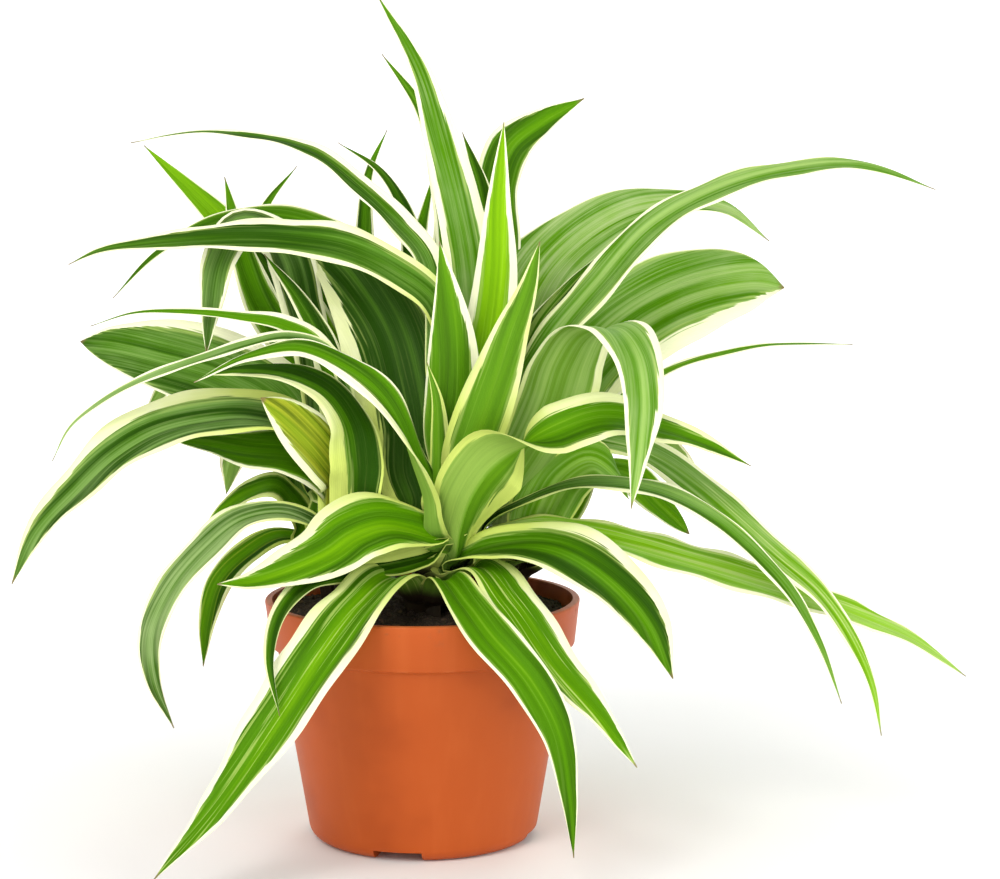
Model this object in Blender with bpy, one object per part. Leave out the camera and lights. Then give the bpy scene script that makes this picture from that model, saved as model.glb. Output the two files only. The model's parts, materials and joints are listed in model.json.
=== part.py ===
"""A spider plant in a 12 cm nursery pot.

Metres, +Z up. The origin is the middle of the pot's base, on the surface that it stands on.
The viewer stands at -Y and +X is to the viewer's right.
"""
import math

import bmesh
import bpy
import numpy as np
from mathutils import Matrix, Vector

MM = 0.001

# Pot, a turned plastic shell
POT_HEIGHT = 95 * MM
RIM_RADIUS = 62 * MM
RIM_BAND = 17.5 * MM
RIM_STEP = 2.6 * MM
BODY_TOP_RADIUS = 57.4 * MM
FOOT_RADIUS = 45.5 * MM
FOOT_CORNER = 6 * MM
POT_WALL = 1.4 * MM
RIM_WALL = 2.6 * MM
RIM_TAPER = 0.5 * MM
LIP_ROUND = 0.8 * MM
SHOULDER_RISE = 1.2 * MM
POT_SIDES = 56

# Drain channels under the pot's foot, each with a hole at its inner end
CHANNELS = 4
CHANNEL_WIDTH = 19 * MM
CHANNEL_HEIGHT = 4 * MM
CHANNEL_START = 27 * MM
CHANNEL_TURN = math.radians(-101.5)
DRAIN_HOLE_RADIUS = 3.5 * MM
DRAIN_HOLE_SIDES = 12
CUT_PAST = 1 * MM

# Soil, and the gap that it keeps to the pot and the stems
SOIL_LEVEL = 89 * MM
SOIL_DOME = 2.5 * MM
SOIL_LUMP = 0.5 * MM
LUMP_PITCH = 28 * MM
FINE_PITCH = 13 * MM
SOIL_RINGS = (0.86, 0.7, 0.54, 0.38, 0.22, 0.1)
SOIL_SIDES = 40
SOCKET_SIDES = 16
GAP = 0.3 * MM

# Stems: each leans from its foot in the soil to its top, as (x, y, z) in millimetres, and its rings
# are (share of the height, share of the radius)
STEM_SUNK = 16
STEM_SIDES = 12
STEM_RINGS = ((0, 1), (0.35, 1), (0.7, 1), (0.96, 1), (1, 0.55))
STEMS = {
    "main": {"foot": (3, -6, 92), "top": (10, -4, 138), "radius": (10, 6)},
    "left": {"foot": (-26, 0, 91), "top": (-30, 1, 132), "radius": (8, 4.5)},
    "left_back": {"foot": (-34, 20, 91), "top": (-37, 21, 132), "radius": (7, 4)},
    "right": {"foot": (28, 10, 91), "top": (32, 11, 134), "radius": (7.5, 4.5)},
    "right_back": {"foot": (34, 30, 91), "top": (38, 32, 132), "radius": (7, 4)},
    "back_left": {"foot": (-16, 41, 91), "top": (-20, 45, 130), "radius": (7, 4)},
    "back_right": {"foot": (10, 42, 91), "top": (13, 47, 128), "radius": (7, 4)},
}

# Leaf blade, from its root to its tip: fold angles in degrees at shares of its length, and its outline
# as the root's share of the width, the share of the length where it is widest, and its taper's power
LEAF_THICKNESS = (0.9 * MM, 0.62 * MM)
LEAF_SPACING = 13 * MM
LEAF_FOLD = ((0, 8), (0.12, 25), (0.45, 14), (1, 16))
LEAF_SHAPE = (0.29, 0.46, 1.55)
LEAF_TIP_HALF = 0.4 * MM
LEAF_TURN_IN = 0.16
LEAF_COLLAR = 6 * MM
LEAF_LEAN = 0.8
SUNK_ROOT = 0.4
CURVE_STEPS = 400

# Leaf routes are laid out as on a front view of the plant: millimetres across and up in the plane
# through the pot's axis, and how much nearer to the viewer the leaf passes there.
VIEWER = Vector((30.5 * MM, -1.0, 283 * MM))
PLANT_MIDDLE = 1 * MM

# The way an upper face looks: across, towards the viewer, up
SKY = (0, 0.3, 0.95)
TILTED = (0, 0.62, 0.78)
STEEP = (0, 0.88, 0.47)
VIEWERWARDS = (0, 0.97, 0.25)
FROM_VIEWER = (0, -0.97, 0.25)
AWAY = (0, -0.5, 0.86)

# name: stem, root height, width, upper face past the root and at the tip, route (across, up, near)
LEAVES = {
    "leaf_front_long_left": ("main", 95, 28, SKY, TILTED, [
        (-9, 99, 28), (-24, 90, 57), (-37, 74, 72), (-57, 46, 82), (-85, 8, 92), (-109, -20, 98)]),
    "leaf_front_centre": ("main", 94, 17, SKY, VIEWERWARDS, [
        (7, 100, 28), (17, 91, 55), (26, 79, 70), (42, 60, 82), (52, 41, 89), (57, 14, 94),
        (59, -11, 98)]),
    "leaf_front_right": ("main", 102, 21, SKY, TILTED, [
        (20, 106, 25), (35, 92, 50), (53, 66, 66), (70, 46, 77), (84, 26, 84)]),
    "leaf_right_broad": ("main", 107, 26, SKY, TILTED, [
        (16, 111, 16), (30, 115, 28), (53, 114, 42), (73, 102, 54), (89, 84, 64), (98, 62, 72)]),
    "leaf_left_broad": ("main", 110, 32, TILTED, TILTED, [
        (-6, 121, 22), (-22, 121, 35), (-37, 114, 44), (-53, 106, 51), (-69, 101, 56),
        (-82, 100, 61)]),
    "leaf_left_droop_small": ("main", 103, 9, SKY, VIEWERWARDS, [
        (-17, 107, 25), (-37, 99, 44), (-52, 93, 62), (-61, 80, 76), (-62, 66, 82), (-58, 47, 86)]),
    "leaf_right_shelf": ("main", 113, 27, (0.1, -0.4, 0.9), TILTED, [
        (15, 128, 23), (21, 141, 28), (31, 153, 31), (47, 161, 32), (69, 167, 31), (92, 162, 29),
        (112, 155, 27), (128, 147, 25)]),
    "leaf_curled": ("main", 111, 32, (-0.3, -0.4, 0.85), (0.3, 0.9, 0.1), [
        (21, 123, 1), (32, 139, 2), (41, 157, 3), (49, 176, 4), (59, 190, 9), (71, 196, 18),
        (80, 190, 30), (84, 174, 40), (83, 155, 46), (81, 130, 50)]),
    "leaf_left_arch": ("main", 119, 19, SKY, TILTED, [
        (3, 143, 20), (-4, 161, 23), (-18, 178, 25), (-33, 188, 26), (-49, 193, 27), (-68, 190, 27),
        (-90, 180, 26)]),
    "leaf_dark_broad": ("main", 116, 40, VIEWERWARDS, VIEWERWARDS, [
        (-10, 133, 3), (-12, 152, -5), (-14, 172, -13), (-18, 193, -20), (-25, 211, -25),
        (-33, 225, -31), (-41, 231, -37), (-49, 227, -44)]),
    "leaf_upper_left_arch": ("main", 131, 17, VIEWERWARDS, TILTED, [
        (7, 152, 5), (7, 175, 0), (7, 195, -2), (1, 214, -2), (-12, 224, -2), (-30, 233, -4),
        (-49, 236, -6), (-70, 237, -9), (-88, 236, -12), (-109, 234, -16), (-127, 231, -20),
        (-138, 226, -23)]),
    "leaf_upper_left_long": ("main", 127, 12, VIEWERWARDS, SKY, [
        (8, 158, -3), (5, 180, -7), (5, 214, -10), (1, 230, -14), (-10, 243, -18), (-25, 257, -23),
        (-41, 269, -26), (-69, 276, -30), (-88, 277, -33), (-113, 273, -36)]),
    "leaf_upper_left_droop": ("main", 124, 12, VIEWERWARDS, TILTED, [
        (0, 176, -20), (-10, 210, -32), (-30, 236, -42), (-53, 245, -44), (-72, 245, -42),
        (-90, 239, -38), (-104, 230, -35), (-121, 213, -31)]),
    "leaf_centre_left": ("main", 132, 22, FROM_VIEWER, FROM_VIEWER, [
        (9, 160, 8), (11, 178, 8), (11, 196, 9), (9, 216, 10), (6, 235, 9)]),
    "leaf_centre_right": ("main", 120, 19, FROM_VIEWER, FROM_VIEWER, [
        (18, 150, 18), (23, 168, 20), (29, 185, 20), (34, 200, 20), (40, 216, 19), (45, 235, 17)]),
    "leaf_centre_tall": ("main", 130, 20, VIEWERWARDS, VIEWERWARDS, [
        (20, 163, -3), (24, 190, -5), (28, 222, -6), (29, 251, -9), (31, 281, -13)]),
    "leaf_young": ("main", 127, 7, FROM_VIEWER, FROM_VIEWER, [
        (6, 157, 13), (5, 173, 14), (1, 188, 14)]),
    "leaf_tallest": ("main", 120, 20, VIEWERWARDS, VIEWERWARDS, [
        (15, 165, -10), (19, 200, -15), (18, 225, -18), (13, 251, -21), (7, 274, -24),
        (-1, 300, -28), (-18, 330, -34)]),
    "leaf_right_arch": ("main", 117, 16, SKY, SKY, [
        (27, 158, -12), (40, 180, -18), (53, 200, -20), (69, 219, -22), (88, 240, -23),
        (112, 254, -24), (139, 262, -26), (170, 264, -28), (198, 255, -28)]),
    "leaf_right_long": ("main", 102, 21, SKY, TILTED, [
        (22, 113, 3), (45, 121, 9), (69, 118, 12), (100, 110, 13), (131, 101, 12), (167, 89, 11),
        (194, 77, 10), (214, 63, 9)]),
    "leaf_right_slim": ("main", 108, 11, SKY, TILTED, [
        (24, 123, 0), (37, 131, 4), (50, 137, 9), (69, 140, 16), (88, 138, 22), (108, 130, 27),
        (126, 116, 31), (143, 98, 34), (155, 78, 36), (165, 52, 36)]),
    "leaf_left_cream_arch": ("left", 110, 26, SKY, TILTED, [
        (-24, 131, 12), (-26, 150, 15), (-34, 168, 16), (-49, 179, 17), (-68, 184, 18),
        (-85, 183, 19)]),
    "leaf_left_thin": ("left", 126, 6, SKY, TILTED, [
        (-28, 156, 4), (-31, 178, 7), (-39, 194, 9), (-52, 198, 11), (-69, 195, 13), (-88, 189, 14),
        (-108, 182, 15), (-127, 172, 16), (-139, 162, 17), (-146, 149, 17)]),
    "leaf_left_wavy": ("left", 122, 28, SKY, TILTED, [
        (-39, 151, 1), (-51, 163, 3), (-68, 168, 6), (-88, 167, 10), (-108, 162, 14),
        (-122, 152, 18), (-139, 136, 21), (-153, 121, 23), (-163, 100, 24)]),
    "leaf_left_short": ("left", 107, 22, SKY, TILTED, [
        (-50, 131, -2), (-58, 148, 0), (-68, 154, 0), (-84, 156, 0), (-98, 156, 0)]),
    "leaf_left_yellowed": ("left", 116, 17, TILTED, VIEWERWARDS, [
        (-37, 142, 8), (-42, 158, 12), (-51, 169, 14), (-62, 174, 15)]),
    "leaf_left_lime": ("left_back", 104, 17, SKY, TILTED, [
        (-48, 124, -14), (-53, 134, -12), (-58, 139, -10), (-68, 137, -11), (-79, 130, -8),
        (-87, 122, -8)]),
    "leaf_left_drooping": ("left", 101, 18, SKY, TILTED, [
        (-40, 119, 10), (-54, 128, 14), (-71, 126, 17), (-87, 114, 22), (-101, 97, 26),
        (-109, 78, 28), (-108, 61, 29), (-100, 42, 29)]),
    "leaf_left_hanging": ("left_back", 98, 15, SKY, TILTED, [
        (-46, 116, -20), (-56, 119, -16), (-70, 112, -9), (-81, 101, -3), (-86, 85, 0), (-88, 67, 0)]),
    "leaf_far_left_broad": ("left_back", 110, 36, STEEP, STEEP, [
        (-48, 146, -29), (-58, 170, -31), (-80, 181, -33), (-104, 187, -38), (-122, 190, -46),
        (-134, 191, -56)]),
    "leaf_far_left_thin": ("left", 129, 9, SKY, SKY, [
        (-33, 165, -4), (-37, 188, -4), (-44, 198, -5), (-54, 203, -6), (-72, 206, -9),
        (-96, 208, -12), (-114, 207, -14), (-130, 202, -15)]),
    "leaf_left_upright_short": ("left_back", 126, 12, TILTED, VIEWERWARDS, [
        (-34, 165, -17), (-39, 194, -20), (-49, 213, -21), (-62, 230, -20)]),
    "leaf_left_upright": ("left_back", 124, 19, VIEWERWARDS, VIEWERWARDS, [
        (-36, 156, -34), (-41, 190, -38), (-52, 214, -40), (-67, 234, -42)]),
    "leaf_left_bent": ("left_back", 128, 15, VIEWERWARDS, TILTED, [
        (-42, 165, -24), (-47, 208, -29), (-57, 235, -28), (-70, 241, -25), (-79, 228, -20),
        (-83, 208, -17), (-85, 191, -16)]),
    "leaf_right_back_broad": ("right_back", 122, 39, VIEWERWARDS, TILTED, [
        (30, 170, -48), (38, 200, -53), (50, 221, -57), (66, 236, -62), (84, 244, -66),
        (102, 247, -70), (119, 245, -73), (134, 235, -76)]),
    "leaf_right_broad_blunt": ("right_back", 116, 42, STEEP, STEEP, [
        (50, 158, -48), (61, 181, -51), (78, 197, -54), (98, 208, -57), (118, 214, -61),
        (131, 216, -66), (140, 215, -71)]),
    "leaf_right_thin": ("right_back", 105, 9, SKY, SKY, [
        (53, 143, -35), (70, 167, -36), (92, 183, -35), (108, 189, -33), (131, 194, -31),
        (167, 195, -30)]),
    "leaf_right_needle": ("right", 129, 6, TILTED, TILTED, [
        (42, 172, -22), (54, 194, -28), (66, 213, -29), (80, 229, -30)]),
    "leaf_right_narrow": ("right_back", 128, 8, TILTED, TILTED, [
        (36, 174, -28), (45, 203, -30), (57, 218, -33), (70, 231, -35)]),
    "leaf_right_weeping": ("right", 112, 16, TILTED, TILTED, [
        (43, 146, -17), (57, 157, -23), (75, 156, -20), (93, 149, -8), (108, 138, 2),
        (122, 126, 11), (139, 111, 19), (155, 97, 25), (169, 77, 28), (177, 59, 29), (181, 39, 29)]),
    "leaf_right_low_broad": ("right", 106, 24, STEEP, TILTED, [
        (46, 130, -2), (54, 143, -3), (64, 149, -6), (74, 143, -13), (80, 134, -22)]),
    "leaf_right_low_short": ("right_back", 98, 13, SKY, TILTED, [
        (55, 126, -27), (64, 143, -30), (78, 144, -32), (91, 132, -29), (104, 120, -25)]),
}

# Leaves of another outline than most: root's share of the width, widest place, and taper's power
LEAF_SHAPES = {
    "leaf_right_shelf": (0.46, 0.32, 1.5),
    "leaf_curled": (0.33, 0.44, 1.5),
    "leaf_left_cream_arch": (0.55, 0.36, 1.4),
    "leaf_far_left_broad": (0.3, 0.5, 2.6),
    "leaf_right_back_broad": (0.3, 0.42, 1.25),
    "leaf_right_broad_blunt": (0.3, 0.54, 2.8),
}

# Leaves of the two offsets behind the plant, which are one body with their stem
OFFSET_LEAVES = {
    "offset_back_left": ("back_left", [
        (120, 20, VIEWERWARDS, VIEWERWARDS, [
            (-36, 185, -54), (-55, 219, -60), (-79, 244, -66), (-108, 272, -72)]),
        (124, 13, VIEWERWARDS, VIEWERWARDS, [
            (-37, 180, -50), (-60, 212, -53), (-72, 235, -55), (-77, 260, -57)]),
        (126, 11, VIEWERWARDS, VIEWERWARDS, [
            (-42, 190, -50), (-66, 222, -56), (-62, 247, -59), (-49, 264, -62)]),
        (126, 10, SKY, TILTED, [(-12, 190, -44), (-8, 235, -47), (-14, 259, -51), (-33, 273, -57)]),
        (122, 8, VIEWERWARDS, VIEWERWARDS, [
            (-20, 190, -50), (-23, 240, -54), (-21, 262, -57), (-14, 278, -60)]),
        (124, 9, VIEWERWARDS, VIEWERWARDS, [(-7, 200, -50), (-2, 235, -54), (4, 262, -58)]),
        (116, 24, AWAY, AWAY, [(-30, 158, -66), (-40, 180, -86), (-52, 176, -112), (-62, 152, -134)]),
        (110, 25, AWAY, AWAY, [(-46, 138, -62), (-62, 152, -86), (-74, 150, -112), (-78, 136, -134)]),
        (104, 20, AWAY, AWAY, [(-32, 118, -68), (-40, 114, -92), (-47, 98, -114), (-52, 80, -128)]),
        (119, 22, VIEWERWARDS, TILTED, [
            (-25, 168, -55), (-35, 198, -58), (-47, 222, -61), (-61, 238, -66)]),
        (116, 22, AWAY, AWAY, [(-23, 180, -62), (-28, 214, -78), (-33, 226, -100), (-39, 210, -130)]),
        (114, 20, AWAY, AWAY, [
            (-50, 160, -64), (-74, 182, -82), (-96, 182, -104), (-112, 162, -126)]),
    ]),
    "offset_back_right": ("back_right", [
        (124, 16, VIEWERWARDS, TILTED, [
            (22, 190, -58), (26, 240, -61), (30, 268, -64), (44, 282, -68), (62, 290, -72)]),
        (120, 20, VIEWERWARDS, TILTED, [(8, 175, -56), (4, 215, -66), (0, 248, -80), (-2, 268, -96)]),
        (118, 14, VIEWERWARDS, VIEWERWARDS, [
            (10, 170, -36), (13, 220, -40), (8, 255, -44), (-1, 286, -48), (-16, 307, -52)]),
        (120, 12, VIEWERWARDS, VIEWERWARDS, [
            (22, 190, -36), (24, 230, -40), (21, 255, -43), (14, 277, -46)]),
        (116, 24, AWAY, AWAY, [(20, 158, -72), (26, 184, -92), (34, 182, -118), (40, 158, -142)]),
        (112, 25, AWAY, AWAY, [(42, 142, -66), (66, 160, -84), (90, 158, -104), (112, 136, -122)]),
        (106, 22, AWAY, AWAY, [(8, 122, -74), (6, 124, -100), (4, 104, -120), (2, 72, -134)]),
        (102, 19, AWAY, AWAY, [(34, 112, -66), (54, 110, -86), (66, 102, -104), (72, 92, -120)]),
        (122, 20, AWAY, AWAY, [(17, 184, -64), (21, 222, -78), (27, 238, -102), (34, 224, -134)]),
        (118, 22, AWAY, AWAY, [(38, 168, -66), (62, 200, -84), (84, 206, -112), (102, 186, -140)]),
    ]),
}


def material(name, colour, roughness, metallic=0.0):
    """A Principled material of one colour."""
    made = bpy.data.materials.new(name)
    made.use_nodes = True
    shader = made.node_tree.nodes["Principled BSDF"]
    shader.inputs["Base Color"].default_value = (*colour, 1)
    shader.inputs["Roughness"].default_value = roughness
    shader.inputs["Metallic"].default_value = metallic
    return made


def place(name, mesh, finish=None):
    """Put a mesh in the scene as an object of that name."""
    made = bpy.data.objects.new(name, mesh)
    bpy.context.collection.objects.link(made)
    if finish:
        mesh.materials.append(finish)
    return made


def turned(name, profile, sides):
    """A solid turned about Z from (radius, height) pairs that run from the axis round to the axis."""
    mesh = bpy.data.meshes.new(name)
    build = bmesh.new()
    points = [build.verts.new((radius, 0, height)) for radius, height in profile]
    edges = [build.edges.new(pair) for pair in zip(points, points[1:])]
    bmesh.ops.spin(build, geom=points + edges, axis=(0, 0, 1), cent=(0, 0, 0), steps=sides,
                   angle=math.tau, use_merge=True)
    bmesh.ops.remove_doubles(build, verts=build.verts, dist=0.00001)
    bmesh.ops.recalc_face_normals(build, faces=build.faces)
    build.to_mesh(mesh)
    build.free()
    return place(name, mesh)


def corner(centre_radius, centre_height, radius, start, end, steps):
    """Points of an arc in the profile plane, angles in degrees from the outward direction."""
    angles = [math.radians(start + (end - start) * step / steps) for step in range(steps + 1)]
    return [(centre_radius + radius * math.cos(angle), centre_height + radius * math.sin(angle))
            for angle in angles]


def combine(target, tools, operation, solver="EXACT"):
    """Apply one Boolean of a collection of tools to the target, and remove the tools."""
    group = bpy.data.collections.new("tools")
    for tool in tools:
        group.objects.link(tool)
    cut = target.modifiers.new(operation.lower(), "BOOLEAN")
    cut.operation = operation
    cut.solver = solver
    cut.operand_type = "COLLECTION"
    cut.collection = group
    settled = target.evaluated_get(bpy.context.evaluated_depsgraph_get())
    mesh = bpy.data.meshes.new_from_object(settled)
    target.modifiers.clear()
    target.data = mesh
    for tool in tools:
        bpy.data.objects.remove(tool)
    bpy.data.collections.remove(group)
    return target


def outer_profile():
    """Outline of the pot's outside, from the middle of its foot to its lip."""
    band_bottom = POT_HEIGHT - RIM_BAND
    slope = math.degrees(math.atan2(BODY_TOP_RADIUS - FOOT_RADIUS, band_bottom))
    points = [(0, 0)]
    points += corner(FOOT_RADIUS - FOOT_CORNER, FOOT_CORNER, FOOT_CORNER, -90, -slope, 5)
    points += [(BODY_TOP_RADIUS, band_bottom - SHOULDER_RISE), (BODY_TOP_RADIUS + RIM_STEP, band_bottom)]
    points += [(RIM_RADIUS - RIM_TAPER, POT_HEIGHT - 5 * LIP_ROUND)]
    points += corner(RIM_RADIUS - LIP_ROUND, POT_HEIGHT - LIP_ROUND, LIP_ROUND, 0, 90, 3)
    return points


def inner_profile(inset, top):
    """Outline of the pot's inside, moved in by the inset and closed at the top height."""
    foot = FOOT_RADIUS - POT_WALL - inset
    shoulder = BODY_TOP_RADIUS - POT_WALL - inset
    lip = RIM_RADIUS - RIM_WALL - inset
    floor = POT_WALL + inset
    bend = FOOT_CORNER - POT_WALL
    band_bottom = POT_HEIGHT - RIM_BAND
    points = [(0, floor), (foot - bend, floor)]
    points += corner(foot - bend, floor + bend, bend, -60, -15, 2)
    points += [(shoulder, band_bottom)]
    points += [(shoulder + (lip - shoulder) * (top - band_bottom) / RIM_BAND, top)]
    return points


def box(name, size, centre, turn):
    """A block, turned about Z after it is placed."""
    mesh = bpy.data.meshes.new(name)
    build = bmesh.new()
    bmesh.ops.create_cube(build, size=1)
    place_at = Matrix.Rotation(turn, 4, "Z") @ Matrix.Translation(centre) @ Matrix.Diagonal((*size, 1))
    bmesh.ops.transform(build, matrix=place_at, verts=build.verts)
    build.to_mesh(mesh)
    build.free()
    return place(name, mesh)


def drum(name, radius, low, high, centre, sides):
    """A round bar between two heights."""
    mesh = bpy.data.meshes.new(name)
    build = bmesh.new()
    middle = Matrix.Translation((centre[0], centre[1], (low + high) / 2))
    bmesh.ops.create_cone(build, cap_ends=True, segments=sides, radius1=radius, radius2=radius,
                          depth=high - low, matrix=middle)
    build.to_mesh(mesh)
    build.free()
    return place(name, mesh)


def channel_blocks(grow):
    """The blocks that the drain channels leave inside the pot, or the channels themselves."""
    length = FOOT_RADIUS
    size = (length, CHANNEL_WIDTH + 2 * grow, 2 * (CHANNEL_HEIGHT + grow))
    centre = (CHANNEL_START - grow + length / 2, 0, 0)
    turns = [CHANNEL_TURN + math.tau * k / CHANNELS for k in range(CHANNELS)]
    return [box("channel", size, centre, turn) for turn in turns]


def make_pot(finish):
    """The pot: a shell with a banded rim, and channels under its foot that lead to drain holes."""
    pot = turned("pot", outer_profile() + [(0, POT_HEIGHT)], POT_SIDES)
    above = POT_HEIGHT + CUT_PAST
    inside = turned("inside", inner_profile(0, above) + [(0, above)], POT_SIDES)
    combine(inside, channel_blocks(POT_WALL), "DIFFERENCE")
    holes = []
    for k in range(CHANNELS):
        turn = CHANNEL_TURN + math.tau * k / CHANNELS
        reach = CHANNEL_START + 2 * DRAIN_HOLE_RADIUS
        centre = (reach * math.cos(turn), reach * math.sin(turn))
        high = CHANNEL_HEIGHT + POT_WALL + CUT_PAST
        holes.append(drum("drain", DRAIN_HOLE_RADIUS, -CUT_PAST, high, centre, DRAIN_HOLE_SIDES))
    combine(pot, [inside], "DIFFERENCE")
    combine(pot, channel_blocks(0), "DIFFERENCE")
    combine(pot, holes, "DIFFERENCE")
    pot.data.materials.clear()
    pot.data.materials.append(finish)
    pot.data.shade_smooth()
    pot.data.set_sharp_from_angle(angle=math.radians(30))


def soil_height(x, y):
    """Top of the soil: a low dome with small lumps."""
    reach = math.hypot(x, y) / BODY_TOP_RADIUS
    lumps = math.sin(math.tau * x / LUMP_PITCH) * math.sin(math.tau * y / LUMP_PITCH)
    lumps += 0.6 * math.sin(math.tau * (x - y) / FINE_PITCH)
    return SOIL_LEVEL + SOIL_DOME * (1 - reach * reach) + SOIL_LUMP * lumps * (1 - reach ** 4)


def stem_axis(stem, height):
    """Middle and radius of a stem at a height, in millimetres."""
    spec = STEMS[stem]
    foot, top = Vector(spec["foot"]), Vector(spec["top"])
    share = (height - foot.z) / (top.z - foot.z)
    radius = spec["radius"][0] + (spec["radius"][1] - spec["radius"][0]) * max(share, 0)
    return foot.lerp(top, share) if share > 0 else Vector((foot.x, foot.y, height)), radius


def make_soil(finish):
    """The soil: it fills the pot below its dome, with a plain hole for each stem."""
    shell = inner_profile(GAP, SOIL_LEVEL)
    edge = shell[-1][0]
    top = [(edge * share, SOIL_LEVEL) for share in SOIL_RINGS]
    soil = turned("soil", shell + top + [(0, SOIL_LEVEL)], SOIL_SIDES)
    for vertex in soil.data.vertices:
        if vertex.co.z > SOIL_LEVEL - GAP:
            vertex.co.z = soil_height(vertex.co.x, vertex.co.y)
    sockets = channel_blocks(POT_WALL + GAP)
    for spec in STEMS.values():
        foot = spec["foot"]
        radius = spec["radius"][0] * MM + GAP
        floor = (foot[2] - STEM_SUNK) * MM - GAP
        centre = (foot[0] * MM, foot[1] * MM)
        sockets.append(drum("socket", radius, floor, POT_HEIGHT, centre, SOCKET_SIDES))
    combine(soil, sockets, "DIFFERENCE")
    soil.data.materials.clear()
    soil.data.materials.append(finish)


def make_stem(name, stem, finish):
    """A round stem, straight in its hole and leaning above it, with a rounded top."""
    spec = STEMS[stem]
    foot, top = spec["foot"], spec["top"]
    rings = [(foot[2] - STEM_SUNK, 1)]
    rings += [(foot[2] + (top[2] - foot[2]) * share, narrowing) for share, narrowing in STEM_RINGS]
    points = []
    for height, share in rings:
        centre, radius = stem_axis(stem, height)
        for side in range(STEM_SIDES):
            turn = math.tau * (side + 0.5) / STEM_SIDES
            points.append(((centre.x + radius * share * math.cos(turn)) * MM,
                           (centre.y + radius * share * math.sin(turn)) * MM, height * MM))
    faces = [tuple(reversed(range(STEM_SIDES)))]
    for ring in range(len(rings) - 1):
        for side in range(STEM_SIDES):
            here, there = ring * STEM_SIDES, (ring + 1) * STEM_SIDES
            after = (side + 1) % STEM_SIDES
            faces.append((here + side, here + after, there + after, there + side))
    last = (len(rings) - 1) * STEM_SIDES
    faces.append(tuple(range(last, last + STEM_SIDES)))
    mesh = bpy.data.meshes.new(name)
    mesh.from_pydata(points, [], faces)
    return place(name, mesh, finish)


def seen(across, up, near):
    """The point that the front view shows at (across, up), brought nearer to the viewer."""
    flat = Vector((across, 0, up)) * MM + Vector((PLANT_MIDDLE, 0, 0))
    return VIEWER + (flat - VIEWER) * (1 - near * MM / -VIEWER.y)


def leaf_route(stem, root_height, route, sunk):
    """World points of a midrib: its root on the stem, then the points of its route."""
    points = [seen(*stop) for stop in route]
    centre, radius = stem_axis(stem, root_height)
    centre *= MM
    outwards = (points[0] - centre) * Vector((1, 1, 0))
    outwards.normalize()
    reach = radius * MM * SUNK_ROOT if sunk else radius * MM + GAP + LEAF_THICKNESS[0] / 2
    root = centre + outwards * reach
    leaning = (outwards * LEAF_LEAN + (points[0] - root).normalized()).normalized()
    collar = root + leaning * LEAF_COLLAR
    return np.array([root, collar] + points), np.array(outwards)


def along_curve(stops, count):
    """Even stations along a smooth curve through the stops, with the curve's directions."""
    distance = np.concatenate([[0], np.cumsum(np.linalg.norm(np.diff(stops, axis=0), axis=1))])
    slope = np.gradient(stops, distance, axis=0)
    fine = np.linspace(0, distance[-1], CURVE_STEPS)
    span = np.clip(np.searchsorted(distance, fine, side="right") - 1, 0, len(stops) - 2)
    gap = (distance[span + 1] - distance[span])[:, None]
    u = (fine - distance[span])[:, None] / gap
    curve = ((1 + 2 * u) * (1 - u) ** 2 * stops[span] + u * (1 - u) ** 2 * gap * slope[span]
             + u * u * (3 - 2 * u) * stops[span + 1] + u * u * (u - 1) * gap * slope[span + 1])
    run = np.concatenate([[0], np.cumsum(np.linalg.norm(np.diff(curve, axis=0), axis=1))])
    wanted = np.linspace(0, run[-1], count)
    stations = np.stack([np.interp(wanted, run, curve[:, k]) for k in range(3)], axis=1)
    heading = np.gradient(stations, axis=0)
    return stations, heading / np.linalg.norm(heading, axis=1)[:, None]


def leaf_half_width(share, width, shape):
    """Half the blade's width at a share of its length: it swells from its root, then tapers."""
    root_share, widest, taper = shape
    rise = np.clip(share / widest, 0, 1)
    rise = rise * rise * (3 - 2 * rise)
    fall = np.clip((share - widest) / (1 - widest), 0, 1)
    swell = (root_share + (1 - root_share) * rise) * (1 - fall ** taper)
    return np.maximum(width * MM / 2 * swell, LEAF_TIP_HALF)


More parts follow.
